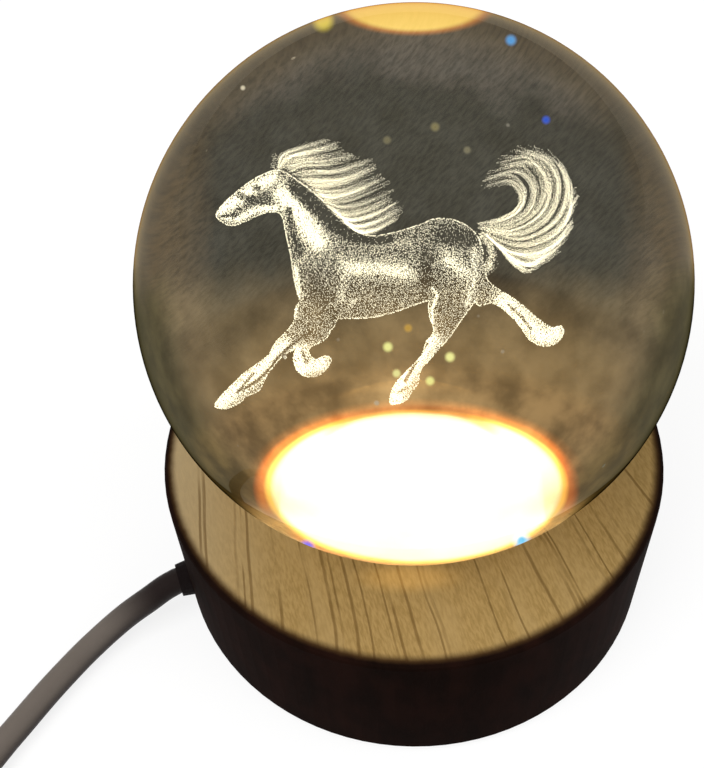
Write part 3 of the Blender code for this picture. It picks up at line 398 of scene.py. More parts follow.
def far_painted_shading(n, zones):
    """Tint of the ball's far side: a painted dark reflection above with a slanting grain, clear and brown
    below, darker towards the sides, and painted shade round the disc.
    """
    painted_dark_glass = (0.0050, 0.0042, 0.0020)
    painted_top_glass = (0.030, 0.022, 0.013)
    painted_side_glass = (0.035, 0.018, 0.005)
    clear_middle = (0.42, 0.34, 0.22)
    clear_side = (0.16, 0.12, 0.07)
    painted_shade_round_disc = (0.010, 0.007, 0.003)
    sag = n.product(zones.across, zones.across, ZONES_SAG)
    level = n.math("ADD", n.math("ADD", zones.up, sag), zones.wander)
    side = n.math("ADD", zones.aside, n.product(zones.wander, 0.4))
    painted_reflection = n.mix(n.ramp(level, 0.52, 0.66), painted_dark_glass, painted_top_glass)
    painted_reflection = n.mix(n.ramp(side, 0.56, 0.74), painted_reflection, painted_side_glass)
    along_grain = n.product(n.math("ADD", zones.across, zones.up), PAINTED_DARK_GRAIN_ALONG)
    across_grain = n.product(n.math("SUBTRACT", zones.across, zones.up), PAINTED_DARK_GRAIN_ACROSS)
    grain = n.noise(1.0, n.add("CombineXYZ", {0: along_grain, 1: across_grain}), roughness=0.65)
    painted_reflection = n.shade(painted_reflection, n.ramp(grain, 0.30, 0.70, 0.45, 1.75))
    clear = n.mix(n.ramp(side, 0.42, 0.66), clear_middle, clear_side)
    tint = n.mix(n.ramp(level, -0.03, -0.24), painted_reflection, clear)
    # Painted shade round the disc on the far side.
    shaded_round_disc = n.product(zones.around_disc, n.ramp(zones.disc, 1.10, 1.25))
    return n.mix(shaded_round_disc, tint, painted_shade_round_disc)


def near_painted_shading(n, zones):
    """Tint of the ball's near side: painted shade at the rim, low down, beside the disc and at its lower
    corners, and clear over the disc inside a painted red and yellow fringe.
    """
    clear = (0.35, 0.35, 0.34)
    rim = (0.08, 0.066, 0.034)
    painted_low_rim = (0.022, 0.018, 0.008)
    painted_bottom_shade = (0.016, 0.012, 0.005)
    painted_shade_beside_disc = (0.003, 0.002, 0.001)
    painted_red_fringe = (0.20, 0.030, 0.002)
    painted_yellow_fringe = (0.80, 0.42, 0.04)
    disc = (0.95, 0.95, 0.95)
    painted_corner_shade = (0.035, 0.016, 0.002)
    # Painted shade: darker tints at the rim, low down and beside the disc.
    tint = n.mix(n.ramp(zones.facing, 0.55, 0.78), clear, rim)
    tint = n.mix(n.product(zones.rim, zones.low), tint, painted_low_rim)
    tint = n.mix(n.ramp(zones.up, -0.62, -0.74), tint, painted_bottom_shade)
    from_hoof = n.math("ABSOLUTE", n.math("SUBTRACT", zones.across, HOOF_ACROSS))
    tint = n.mix(n.product(zones.around_disc, n.ramp(from_hoof, 0.09, 0.25)), tint, painted_shade_beside_disc)
    # Painted fringe of coloured light round the clear disc.
    tint = n.mix(n.ramp(zones.disc, 1.06, 1.00), tint, painted_red_fringe)
    tint = n.mix(n.ramp(zones.disc, 0.99, 0.95), tint, painted_yellow_fringe)
    tint = n.mix(n.ramp(zones.disc, 0.95, 0.90), tint, disc)
    corner = n.product(n.ramp(zones.aside, 0.34, 0.47), n.ramp(zones.up, -0.76, -0.84))
    return n.mix(n.product(corner, n.ramp(zones.disc, 0.90, 0.98)), tint, painted_corner_shade)


def painted_glow(n, zones):
    """Painted glow in the glass, brighter low down, round the disc and at its upper edge."""
    high = (0.016, 0.016, 0.014)
    low = (0.078, 0.058, 0.031)
    painted_low_rim = (0.105, 0.090, 0.050)
    painted_halo = (0.060, 0.038, 0.014)
    painted_glow_beside = (0.105, 0.058, 0.018)
    painted_glow_above = (0.135, 0.080, 0.029)
    painted_red_fringe = (0.32, 0.085, 0.008)
    light = n.mix(zones.low, high, n.mix(zones.rim, low, painted_low_rim))
    from_halo = from_ellipse(n, zones.across, zones.up, PAINTED_HALO_CENTRE, PAINTED_HALO_RADII)
    light = n.mix(n.ramp(from_halo, 1.7, 0.3), light, painted_halo, "ADD")
    glow = n.mix(n.ramp(zones.aside, 0.50, 0.05), painted_glow_beside, painted_glow_above)
    light = n.mix(zones.around_disc, light, glow, "ADD")
    fringe = n.product(n.ramp(zones.disc, 1.13, 1.01), n.ramp(zones.up, -0.72, -0.52))
    light = n.mix(fringe, light, painted_red_fringe, "ADD")
    return n.shade(light, n.ramp(n.noise(260.0, detail=4.0), 0.3, 0.75, 0.6, 1.5))


def glass_material():
    """Clear glass with a painted dark reflection and warm zones, painted shade and glow, dust in its
    surface, and painted glints of gathered light.
    """
    n = Nodes("crystal_glass")
    zones = ball_zones(n)
    tint = n.mix(zones.front, far_painted_shading(n, zones), near_painted_shading(n, zones))

    specks = n.add("TexVoronoi", {"Scale": SPECKS_SCALE, "Vector": zones.where})
    chance = n.add("SeparateColor", {0: specks.outputs["Color"]}).outputs["Red"]
    speck = n.product(n.ramp(specks.outputs["Distance"], 0.12, 0.05), n.ramp(chance, 0.88, 0.92))
    # Painted glow in the glass, with a painted highlight on each dust speck.
    light = n.mix(speck, painted_glow(n, zones), (0.26, 0.24, 0.19))
    # Painted glow: a warm crescent of gathered light at the top of the ball.
    from_crescent = from_ellipse(n, zones.across, zones.up, PAINTED_CRESCENT_CENTRE, PAINTED_CRESCENT_RADII)
    painted_crescent = n.product(n.ramp(from_crescent, 1.16, 0.84), zones.front)
    amber = n.mix(n.ramp(painted_crescent, 0.35, 1.0), (0.85, 0.30, 0.04), (1.0, 0.72, 0.17))
    light = n.mix(painted_crescent, light, amber)
    place = n.add("CombineXYZ", {0: zones.across, 1: zones.up})
    # Painted glints, with the glass dark behind each.
    for across, up, radius, colour in PAINTED_GLINTS:
        away = n.distance(place, (across, up, 0))
        painted_glint = n.product(n.ramp(away, radius, radius / 4), zones.front)
        light = n.mix(painted_glint, light, colour)
        tint = n.mix(painted_glint, tint, (0.0, 0.0, 0.0))

    leaving = n.add("NewGeometry").outputs["Backfacing"]
    # Painted shade: the coat darkens the ball's near rim, more strongly low down.
    painted_rim_share = n.product(zones.rim, zones.front, n.ramp(zones.up, -0.86, -0.74))
    painted_coat_shade = n.mix(zones.low, (0.95, 0.92, 0.86), (0.77, 0.76, 0.70))
    n.material.cycles.emission_sampling = "NONE"
    return n.finish(
        Base_Color=tint,
        Roughness=n.math("ADD", n.product(leaving, EXIT_ROUGHNESS), n.product(speck, 0.3)),
        IOR=GLASS_IOR,
        Specular_Tint=(0.80, 0.70, 0.52, 1),
        Coat_Weight=1.0,
        Coat_IOR=1.0,
        Coat_Tint=n.mix(painted_rim_share, (1.0, 1.0, 1.0), painted_coat_shade),
        Transmission_Weight=1.0,
        Normal=n.bump(speck, 0.02 * MM),
        Emission_Color=light,
        Emission_Strength=1.0,
    )


def dot_material():
    """Laser points in the glass, with a painted glow for the light they get from below."""
    n = Nodes("engraving")
    n.material.cycles.emission_sampling = "NONE"
    return n.finish(
        Base_Color=(0.9, 0.85, 0.7, 1),
        Roughness=0.8,
        Emission_Color=(1.0, 0.95, 0.72, 1),
        Emission_Strength=DOT_PAINTED_GLOW,
    )


def spill(n):
    """Colour and strength of the LEDs' light on the window and the seat: white, amber at its rim."""
    where = n.spot()
    away = n.length(where, (1 / SPILL_ACROSS, 1 / SPILL_DEEP, 0))
    away = n.math("ADD", away, n.wander(n.noise(500.0), SPILL_RAGGED_SHARE))
    colour = n.mix(n.ramp(away, 0.92, 0.99), (1.0, 0.90, 0.70), (1.0, 0.50, 0.10))
    bright = n.ramp(away, 0.92, 0.99, SPILL_STRENGTH, SPILL_EDGE_STRENGTH)
    strength = n.product(bright, n.ramp(away, 0.97, 1.02, 1.0, 0.0))
    from_pool = n.length(n.offset(where, POOL_CENTRE), (1 / POOL_ACROSS, 1 / POOL_DEEP, 0))
    return colour, n.math("ADD", strength, n.ramp(from_pool, 1.0, 0.2, 0.0, POOL_STRENGTH))


def pore_lines(n, across, along, pitch, width, share, offset):
    """Lines along the grain at irregular distances, broken here and there."""
    inputs = {"W": n.math("ADD", across, offset), "Scale": 1 / pitch, "Randomness": 1.0}
    line = n.add("TexVoronoi", inputs, voronoi_dimensions="1D")
    colour = n.add("SeparateColor", {0: line.outputs["Color"]})
    inside = n.ramp(line.outputs["Distance"], width / pitch, width / pitch / 4)
    apart = n.product(colour.outputs["Red"], LINES_APART)
    drift = n.add("CombineXYZ", {0: apart, 1: n.product(along, PORE_BREAKS)})
    unbroken = n.ramp(n.noise(1.0, drift, detail=2.0), 0.36, 0.52)
    shown = n.ramp(colour.outputs["Green"], 1 - share, 1 - share / 2)
    return n.product(inside, unbroken, shown)


def wood_material():
    """Pale oak with dark pore lines on the top and in the bore, and a dark side; painted shade on the top's
    edge, painted light towards the left and a painted glow of the LEDs on the seat.
    """
    n = Nodes("oak_wood")
    axes = n.add("SeparateXYZ", {0: n.place(turn=GRAIN_ANGLE)})
    fan = n.math("MULTIPLY_ADD", axes.outputs["Y"], GRAIN_FAN, 1.0)
    drift = n.wander(n.noise(1.0, n.place(DRIFT_SCALE, GRAIN_ANGLE), detail=2.0), GRAIN_DRIFT)
    across = n.math("ADD", n.product(axes.outputs["X"], fan), drift)
    lines = n.math("MAXIMUM", *(pore_lines(n, across, axes.outputs["Y"], *pores) for pores in PORE_LINES))
    fibre = n.noise(1.0, n.place(FIBRE_SCALE, GRAIN_ANGLE), detail=4.0)
    patch = n.noise(1.0, n.place(PATCH_SCALE, GRAIN_ANGLE))

    where = n.spot()
    left = n.add("SeparateXYZ", {0: where}).outputs["X"]
    pale = n.mix(n.ramp(fibre, 0.30, 0.70), (0.275, 0.180, 0.062), (0.375, 0.252, 0.096))
    pale = n.mix(n.ramp(patch, 0.35, 0.70, 0.0, 0.5), pale, (0.380, 0.265, 0.112))
    # Painted light towards the left of the top.
    pale = n.mix(n.ramp(left, LEFT_PAINTED_LIGHT_FROM, LEFT_PAINTED_LIGHT_TO, 0.0, 0.75), pale, (0.46, 0.36, 0.21))
    pale = n.mix(n.product(lines, 0.62), pale, (0.115, 0.062, 0.016))
    # Colour of the base's dark side.
    side_colour = n.mix(n.ramp(patch, 0.30, 0.75), (0.0060, 0.0030, 0.0022), (0.0130, 0.0050, 0.0035))
    side_colour = n.mix(n.product(n.ramp(fibre, 0.4, 0.8), 0.5), side_colour, (0.0100, 0.0048, 0.0034))

    radius = n.math("ADD", n.length(where, (1, 1, 0)), n.wander(n.noise(900.0), SIDE_EDGE_RAGGED))
    edge = BASE_RADIUS - SIDE_EDGE_INSET
    # Painted shade over the top's rounded edge.
    painted_edge_shade = n.ramp(radius, edge - EDGE_SHADE_INSIDE, edge + EDGE_SHADE_OUTSIDE)
    side = n.ramp(radius, edge - SIDE_EDGE_INSIDE, edge + SIDE_EDGE_OUTSIDE)
    pale = n.mix(painted_edge_shade, pale, (0.050, 0.026, 0.010))
    pores = n.product(lines, n.ramp(side, 1, 0))
    # Painted light: the seat glows with the LEDs' light, and a pool of the ball's light lies on the wood in
    # front.
    colour, strength = spill(n)
    n.material.cycles.emission_sampling = "NONE"
    return n.finish(
        Base_Color=n.mix(side, pale, side_colour),
        Roughness=n.ramp(side, 0, 1, 0.52, 0.75),
        Specular_IOR_Level=0.01,
        Emission_Color=colour,
        Emission_Strength=strength,
        Normal=n.bump(n.math("SUBTRACT", n.product(fibre, 0.25), pores), 0.06 * MM, 0.8),
    )


def window_material():
    """Frosted window over the LEDs."""
    n = Nodes("frosted_acrylic")
    colour, strength = spill(n)
    return n.finish(
        Base_Color=(0.85, 0.80, 0.70, 1),
        Roughness=0.55,
        Emission_Color=colour,
        Emission_Strength=strength,
    )


def plain_material(
    name, colour, roughness, grain=3000.0, uneven=0.12, relief=0.01 * MM, metallic=0.0, **more
):
    """A surface whose colour and gloss vary a little, with a fine moulded or brushed relief."""
    n = Nodes(name)
    fine = n.noise(grain)
    broad = n.noise(grain / 25, detail=2.0)
    dark = tuple(c * (1 - uneven) for c in colour)
    light = tuple(min(1.0, c * (1 + uneven)) for c in colour)
    return n.finish(
        Base_Color=n.mix(broad, dark, light),
        Roughness=n.ramp(fine, 0.3, 0.7, roughness * 0.85, min(1.0, roughness * 1.15)),
        Metallic=metallic,
        Normal=n.bump(fine, relief),
        **more,
    )


def cord_material():
    """Grey-beige sheath, with painted shade underneath and a painted shadow where it comes out of the base.
    """
    n = Nodes("cord_sheath")
    away = n.distance(n.spot(), CORD_EXIT)
    upright = n.add("SeparateXYZ", {0: n.add("NewGeometry").outputs["Normal"]}).outputs["Z"]
    sheath = n.mix(n.noise(120.0), (0.125, 0.105, 0.090), (0.165, 0.140, 0.120))
    # Painted shade underneath.
    sheath = n.mix(n.ramp(upright, 0.75, -0.10, 0.0, 0.85), sheath, (0.020, 0.014, 0.014))
    # Painted shadow, darkest where it comes out of the base.
    return n.finish(
        Base_Color=n.mix(n.ramp(away, 3 * MM, 13 * MM), (0.017, 0.011, 0.010), sheath),
        Roughness=n.ramp(n.noise(2500.0), 0.3, 0.7, 0.45, 0.60),
        Specular_IOR_Level=0.15,
        Normal=n.bump(n.noise(1800.0), 0.01 * MM),
    )


def strap_material():
    """Woven hook-and-loop tape."""
    n = Nodes("strap_webbing")
    loops = n.add("TexVoronoi", {"Scale": 3200.0, "Vector": n.place((1, 1, 0.6))})
    shade = n.ramp(loops.outputs["Distance"], 0.1, 0.7)
    return n.finish(
        Base_Color=n.mix(shade, (0.035, 0.034, 0.036), (0.008, 0.008, 0.009)),
        Roughness=0.9,
        Normal=n.bump(n.math("SUBTRACT", 1.0, shade), 0.12 * MM),
    )


def make_materials():
    """A material for each slot of the solids."""
    return {
        "crystal_glass": glass_material(),
        "oak_wood": wood_material(),
        "frosted_acrylic": window_material(),
        "cord_sheath": cord_material(),
        "strap_webbing": strap_material(),
        **{name: plain_material(name, **look) for name, look in PLAIN_LOOKS.items()},
    }


def dress_nodes(materials):
    """Every carried-over solid gets its procedural material."""
    for part in frame["record"]["subparts"]:
        for slot in nodes[part["node"]].material_slots:
            slot.material = materials[part["material_slot"]]


def tangent_at(angle):
    return Vector((-math.sin(angle), math.cos(angle), 0))


def coil_route():
    """The coil's points: it spirals in on the table layer, climbs and spirals out again on top."""
    count = round(COIL_TURNS * COIL_STEPS)
    middle = COIL_TURNS / 2
    outer = COIL_MEAN_RADIUS + COIL_PITCH * COIL_TURNS / 4
    route = []
    for i in range(count + 1):
        turns = COIL_TURNS * i / count
        angle = COIL_START + math.tau * turns
        radius = outer - COIL_PITCH * (middle - abs(turns - middle))
        climb = min(1.0, max(0.0, 2 * (turns - middle) + 0.5))
        height = COIL_LOW + COIL_PITCH * climb * climb * (3 - 2 * climb)
        outward = Vector((math.cos(angle), math.sin(angle), 0))
        route.append(COIL_CENTRE + outward * radius + Vector((0, 0, height)))
    first, last = tangent_at(COIL_START), tangent_at(COIL_START + math.tau * COIL_TURNS)
    return [route[0] - first * CORD_DIAMETER, *route, route[-1] + last * CORD_DIAMETER]


def add_lamp_cord(material):
    """The lead from the base to the switch, with its coil."""
    coil = coil_route()
    start_way, end_way = tangent_at(COIL_START), tangent_at(COIL_START + math.tau * COIL_TURNS)
    to_coil = [
        CORD_EXIT,
        Vector((-0.0334, -0.0125, 0.0062)),
        Vector((-0.0353, -0.0137, 0.0055)),
        Vector((-0.0381, -0.0151, 0.0041)),
        Vector((-0.0403, -0.0166, 0.0031)),
        Vector((-0.0424, -0.0185, 0.0024)),
        Vector((-0.0445, -0.0209, 0.0020)),
        Vector((-0.0475, -0.0252, CORD_HEIGHT)),
        Vector((-0.0504, -0.0300, CORD_HEIGHT)),
        Vector((-0.0523, -0.0332, CORD_HEIGHT)),
        Vector((-0.0548, -0.0380, CORD_HEIGHT)),
        Vector((-0.0560, -0.0427, CORD_HEIGHT)),
        Vector((-0.0564, -0.0480, CORD_HEIGHT)),
        Vector((-0.0564, -0.0532, 0.0019)),
        coil[0] - start_way * CORD_DIAMETER,
        coil[0],
    ]
    switch_left = SWITCH_CENTRE - Vector((SWITCH_LENGTH / 2, 0, 0))
    to_switch = [
        coil[-1],
        coil[-1] + end_way * CORD_DIAMETER,
        Vector((-0.0193, -0.0895, 0.0062)),
        Vector((-0.0125, -0.0861, 0.0053)),
        switch_left - Vector((CORD_DIAMETER, 0, 0)),
        switch_left + Vector((CORD_IN_SWITCH, 0, 0)),
    ]
    route = [
        CORD_EXIT - CORD_EXIT_WAY * CORD_IN_RELIEF,
        *smooth_route(to_coil, CORD_STEPS),
        *coil[1:-1],
        *smooth_route(to_switch, CORD_STEPS),
    ]
    lamp_cord = add_tube("lamp_cord", route, CORD_DIAMETER / 2, material)
    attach(lamp_cord, "base")
    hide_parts("power_cord", "cord_coil", "cord_to_switch")


def add_plug_cord(material):
    """The lead from the switch to the plug."""
    switch_right = SWITCH_CENTRE + Vector((SWITCH_LENGTH / 2, 0, 0))
    to_plug = [
        switch_right - Vector((CORD_IN_SWITCH, 0, 0)),
        switch_right,
        switch_right + Vector((CORD_DIAMETER, 0, 0)),
        Vector((0.0407, -0.0841, 0.0043)),
        Vector((0.0440, -0.0825, 0.0035)),
        Vector((0.0486, -0.0774, 0.0023)),
        Vector((0.0507, -0.0710, CORD_HEIGHT)),
        Vector((0.0508, -0.0652, CORD_HEIGHT)),
        Vector((0.0507, -0.0594, 0.0019)),
        Vector((0.0490, -0.0534, 0.0027)),
        Vector((0.0450, -0.0492, 0.0034)),
        Vector((0.0420, -0.0479, 0.0038)),
        PLUG_NECK + Vector((CORD_DIAMETER / 2, 0, 0)),
        PLUG_NECK - Vector((CORD_IN_PLUG, 0, 0)),
    ]
    plug_cord = add_tube("plug_cord", smooth_route(to_plug, CORD_STEPS), CORD_DIAMETER / 2, material)
    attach(plug_cord, "base")
    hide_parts("cord_to_plug")


def add_ball(material):
    """The ball as a fine sphere, so that what shows through it bends smoothly."""
    mesh = bmesh.new()
    centre = Matrix.Translation(BALL_CENTRE)
    bmesh.ops.create_uvsphere(
        mesh,
        u_segments=BALL_SEGMENTS,
        v_segments=BALL_RINGS,
        radius=BALL_RADIUS,
        matrix=centre,
    )
    ball = add_mesh("glass_ball", mesh, material)
    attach(ball, "ball")
    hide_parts("crystal_ball")


# The horse, in millimetres across and up from the ball's centre: its closed outlines
FIGURE = (
    # Head, neck and trunk
    (
        (-19.2, 7.0), (-18.1, 8.4), (-16.0, 10.1), (-14.5, 10.9), (-13.1, 11.3), (-11.7, 10.6), (-9.4, 8.9),
        (-7.5, 7.0), (-6.0, 5.7), (-4.2, 5.0), (-1.9, 5.3), (0.5, 6.0), (2.1, 6.6), (3.9, 6.5), (5.4, 5.8),
        (6.5, 4.5), (6.9, 2.4), (6.4, 0.2), (4.4, -0.9), (1.6, -1.4), (-1.6, -2.5), (-4.0, -3.1),
        (-6.8, -3.2), (-9.0, -3.3), (-10.8, -2.2), (-11.7, 0.4), (-12.0, 2.6), (-12.5, 5.0), (-13.0, 7.0),
        (-14.6, 7.1), (-17.4, 5.9), (-18.6, 6.2),
    ),
    # Stretched foreleg
    (
        (-7.6, -2.8), (-7.9, -4.2), (-10.2, -5.6), (-12.4, -6.6), (-13.6, -7.8), (-14.5, -9.1),
        (-15.0, -10.2), (-16.3, -10.8), (-16.9, -11.4), (-18.3, -12.0), (-19.4, -11.7), (-18.7, -10.6),
        (-17.4, -9.3), (-16.7, -8.6), (-14.3, -6.8), (-13.5, -5.5), (-11.8, -3.6), (-11.4, -1.8),
        (-9.5, -0.9),
    ),
    # Folded foreleg
    (
        (-8.0, -3.4), (-8.6, -5.2), (-10.3, -6.2), (-9.8, -7.2), (-8.6, -6.9), (-8.1, -7.5), (-9.2, -8.8),
        (-10.6, -9.0), (-11.6, -8.3), (-11.9, -6.8), (-11.2, -5.6), (-9.9, -4.4), (-9.2, -3.2),
    ),
    # Near hind leg
    (
        (6.7, 1.2), (6.3, -0.9), (5.7, -2.0), (4.7, -3.4), (3.6, -5.0), (2.3, -6.5), (0.8, -8.3),
        (0.6, -9.4), (-0.2, -10.6), (-0.7, -11.3), (-2.1, -11.6), (-2.2, -10.7), (-1.7, -9.5), (-0.8, -8.5),
        (0.8, -6.8), (1.3, -5.4), (2.0, -4.3), (1.6, -2.9), (1.6, -1.4), (2.8, -0.2), (4.5, 0.6),
    ),
    # Far hind leg
    (
        (7.1, 2.2), (7.3, 0.8), (8.2, -0.1), (9.5, -0.9), (10.4, -1.5), (11.8, -2.7), (12.9, -3.6),
        (13.8, -4.0), (14.5, -3.8), (14.8, -4.5), (14.2, -5.5), (12.9, -5.9), (11.5, -5.3), (10.6, -4.0),
        (9.4, -2.7), (7.9, -1.7), (6.4, -1.9), (5.9, -0.4), (6.3, 1.4),
    ),
)
# For each outline, its place towards the viewer, its half thickness and how deep its rounding goes
FIGURE_DEPTHS = (0.0, 1.4, -1.4, 1.4, -1.4)
FIGURE_THICKNESSES = (2.6, 0.9, 0.8, 1.1, 0.9)
FIGURE_ROUNDINGS = (3.0, 0.9, 0.8, 1.3, 0.9)
FIGURE_SHIFT = (0.3, 0.4, 0.0)

# Bright and dark strokes: points, half width and share of dots that they give
LIGHTS = (
    (((-12.6, -5.8), (-14.6, -8.0), (-17.0, -10.0), (-18.6, -11.4)), 1.3, 0.95),
    (((-11.2, -6.4), (-11.0, -8.2), (-9.0, -7.8)), 1.2, 0.95),
    (((1.9, -5.4), (0.3, -7.8), (-1.0, -9.6), (-1.7, -11.2)), 1.3, 0.95),
    (((9.0, -1.4), (10.6, -2.8), (12.6, -4.8), (14.2, -4.6)), 1.5, 0.95),
    (((-11.5, 1.8), (-11.2, -1.0), (-11.7, -3.0)), 0.40, 0.9),
    (((-7.0, 3.0), (-6.8, 1.0), (-7.0, -1.2)), 0.42, 0.8),
    (((-6.2, -1.9), (-5.4, -1.2)), 0.30, 0.8),
    (((1.9, -0.2), (2.4, -0.9), (1.9, -2.2), (1.9, -3.6)), 0.22, 0.95),
    (((5.9, 3.6), (6.1, 1.0), (5.3, -1.6)), 0.55, 0.85),
    (((-13.4, 7.6), (-15.2, 7.5), (-17.2, 6.5)), 0.42, 0.97),
    (((-13.6, 10.5), (-15.8, 9.3), (-18.4, 7.5)), 0.80, 0.97),
    (((-18.9, 7.1), (-17.9, 6.5)), 0.55, 0.9),
    (((-12.6, 8.9), (-10.7, 6.5), (-9.3, 4.4)), 1.50, 0.98),
    (((-6.4, 4.2), (-3.6, 3.9), (-0.2, 4.2)), 0.40, 0.7),
    (((-6.3, 1.8), (-3.4, 1.7), (-0.6, 1.4)), 1.15, 0.88),
    (((3.4, 2.6), (5.2, 1.2)), 1.05, 0.88),
    (((-11.4, 2.2), (-9.8, 2.9), (-8.2, 3.6)), 0.45, 0.7),
)
SHADES = (
    (((-11.4, 9.7), (-9.4, 7.7), (-7.6, 5.9), (-5.6, 4.9), (-2.6, 4.8)), 0.75, 0.10),
    (((3.0, 5.0), (5.4, 4.6)), 0.90, 0.30),
    (((1.3, 3.4), (1.2, 0.2)), 0.60, 0.45),
    (((-12.1, 7.4), (-11.6, 4.6), (-11.0, 3.2)), 0.32, 0.30),
    (((-15.6, 8.3), (-14.1, 8.6)), 0.45, 0.45),
    (((-18.7, 6.75), (-17.0, 6.95)), 0.13, 0.20),
    (((-15.3, 9.5), (-15.0, 9.5)), 0.24, 0.20),
    (((-16.8, 8.8), (-15.5, 8.2)), 0.30, 0.45),
    (((-12.2, -6.5), (-13.8, -7.8), (-15.2, -9.2), (-16.6, -10.1)), 0.15, 0.35),
    (((-15.6, -8.5), (-16.4, -9.5), (-17.2, -10.4)), 0.13, 0.40),
    (((1.4, -5.6), (0.3, -7.5), (-0.7, -9.3)), 0.15, 0.40),
    (((-0.5, -9.9), (-1.4, -10.4)), 0.13, 0.45),
    (((9.4, -1.8), (10.8, -3.1), (11.6, -4.2)), 0.14, 0.62),
    (((-11.0, -6.4), (-10.6, -7.6)), 0.15, 0.50),
    (((-9.9, -4.4), (-11.8, -5.6), (-13.6, -7.4)), 0.16, 0.35),
    (((-9.6, 0.6), (-9.2, -1.8)), 0.9, 0.70),
)
BODY_SHARE = 0.52  # of the places for dots, where no stroke passes
EDGE_SHARE = 0.95  # and on the outline
EDGE_WIDTH = 0.17
SECOND_DOT_SHARE = 0.75  # above it, places begin to get a second dot
FRONT_SHARE = 0.75  # of the dots on the face towards the viewer
DOT_PITCH = 0.100
DOT_SIZE = 0.045
DOT_SWELL = 0.040  # what the closest dots gain in size
DOT_UNEVEN = 0.008
# Painted glow of the laser points
DOT_PAINTED_GLOW = 1.75
STROKE_DEPTH = 0.5
STROKE_STEPS = 12
HAIR_DOT = 0.042
HAIR_DOT_UNEVEN = 0.006
HAIR_FUZZ = 0.045
HAIR_DEPTH = 0.6
HAIR_STEPS = 14
LOCK_SPREAD = 0.28  # of its strands, as a share of the way to the next lock
SEED = 7
EAR = ((-13.4, 11.0), (-13.6, 11.7), (-13.4, 12.6))
BUTTOCK = ((6.6, 5.1), (7.3, 4.3), (7.7, 3.2), (7.5, 2.2), (7.3, 1.6))

# Lines of hair from root to tip, side by side
MANE_GUIDES = (
    ((-13.3, 11.3), (-12.9, 12.6), (-11.0, 13.4), (-8.1, 14.2)),
    ((-12.7, 11.4), (-11.4, 12.4), (-9.4, 12.7), (-7.0, 13.2)),
    ((-11.7, 10.8), (-10.0, 11.2), (-7.6, 11.2), (-4.6, 12.0)),
    ((-10.5, 9.9), (-8.8, 9.7), (-6.6, 9.9), (-3.8, 11.0)),
    ((-9.4, 8.9), (-7.8, 8.4), (-5.6, 8.8), (-2.9, 9.9)),
    ((-8.4, 7.9), (-6.8, 7.1), (-4.6, 7.6), (-2.4, 8.8)),
    ((-7.4, 7.0), (-5.9, 6.0), (-3.8, 6.4), (-1.3, 7.7)),
    ((-6.6, 6.2), (-5.2, 5.3), (-3.7, 5.4), (-1.7, 6.5)),
)
TAIL_GUIDES = (
    ((6.2, 6.1), (8.4, 6.7), (9.7, 7.4), (10.2, 8.6), (9.2, 9.9), (7.2, 9.5)),
    ((6.2, 6.0), (8.9, 6.2), (10.9, 7.4), (11.4, 9.4), (9.9, 11.0), (7.1, 10.4)),
    ((6.3, 5.8), (9.4, 5.6), (12.0, 7.2), (12.6, 9.8), (10.9, 12.0), (7.8, 11.5)),
    ((6.3, 5.7), (10.0, 5.2), (12.9, 6.9), (13.7, 9.8), (12.2, 12.1), (9.2, 13.0)),
    ((6.5, 5.5), (10.4, 4.7), (13.3, 6.2), (14.5, 8.8), (14.1, 11.6), (11.5, 13.9)),
    ((6.6, 5.3), (10.4, 4.0), (13.3, 4.9), (14.9, 6.6), (15.2, 8.2), (15.8, 9.1)),
    ((6.8, 5.2), (9.6, 3.4), (12.0, 3.4), (13.6, 4.2), (14.6, 5.2), (15.1, 6.0)),
    ((7.0, 5.1), (8.6, 3.6), (10.2, 2.4), (11.4, 1.9), (12.8, 2.4), (14.2, 3.5)),
    ((7.2, 4.9), (8.3, 3.9), (9.2, 2.7), (10.0, 1.9), (10.8, 1.3), (11.6, 1.4)),
)


def to_segment(points, start, end):
    """Distances from points to one straight stretch."""
    way = end - start
    t = np.clip(((points - start) @ way) / (way @ way), 0, 1)
    return np.linalg.norm(points - start - t[:, None] * way, axis=1)


def to_line(points, line):
    """Distances from points to the line through all of the given places."""
    line = np.asarray(line, float)
    return np.min([to_segment(points, start, end) for start, end in zip(line, line[1:])], axis=0)


def is_inside(points, outline):
    """Whether each point lies inside a closed outline."""
    inside = np.zeros(len(points), bool)
    x, y = points.T
    for (x0, y0), (x1, y1) in zip(outline, np.roll(outline, -1, axis=0)):
        if y0 != y1:
            inside ^= ((y0 > y) != (y1 > y)) & (x < x0 + (x1 - x0) * (y - y0) / (y1 - y0))
    return inside


def smooth_line(corners, steps):
    """The smooth route through places of the picture, as an array."""
    return np.array(smooth_route([np.array(corner) for corner in corners], steps))


def smooth_outline(corners, steps=5):
    """A closed outline rounded through its corners. The corners that lap over its ends are cut off."""
    closed = smooth_line([*corners[-2:], *corners, *corners[:2]], steps)
    return closed[2 * steps : -steps - 1]


def dot_shares(places, edge, free):
    """Share of the places that get a dot, by the strokes that pass and by the outline where it's free."""
    share = np.full(len(places), BODY_SHARE)
    for line, width, strength in LIGHTS:
        blend = np.exp(-((to_line(places, line) / width) ** 2))
        share = np.maximum(share, BODY_SHARE + (strength - BODY_SHARE) * blend)
    for line, width, strength in SHADES:
        share *= 1 - (1 - strength) * np.exp(-((to_line(places, line) / width) ** 4))
    return np.maximum(share, EDGE_SHARE * free * np.exp(-((edge / EDGE_WIDTH) ** 2)))


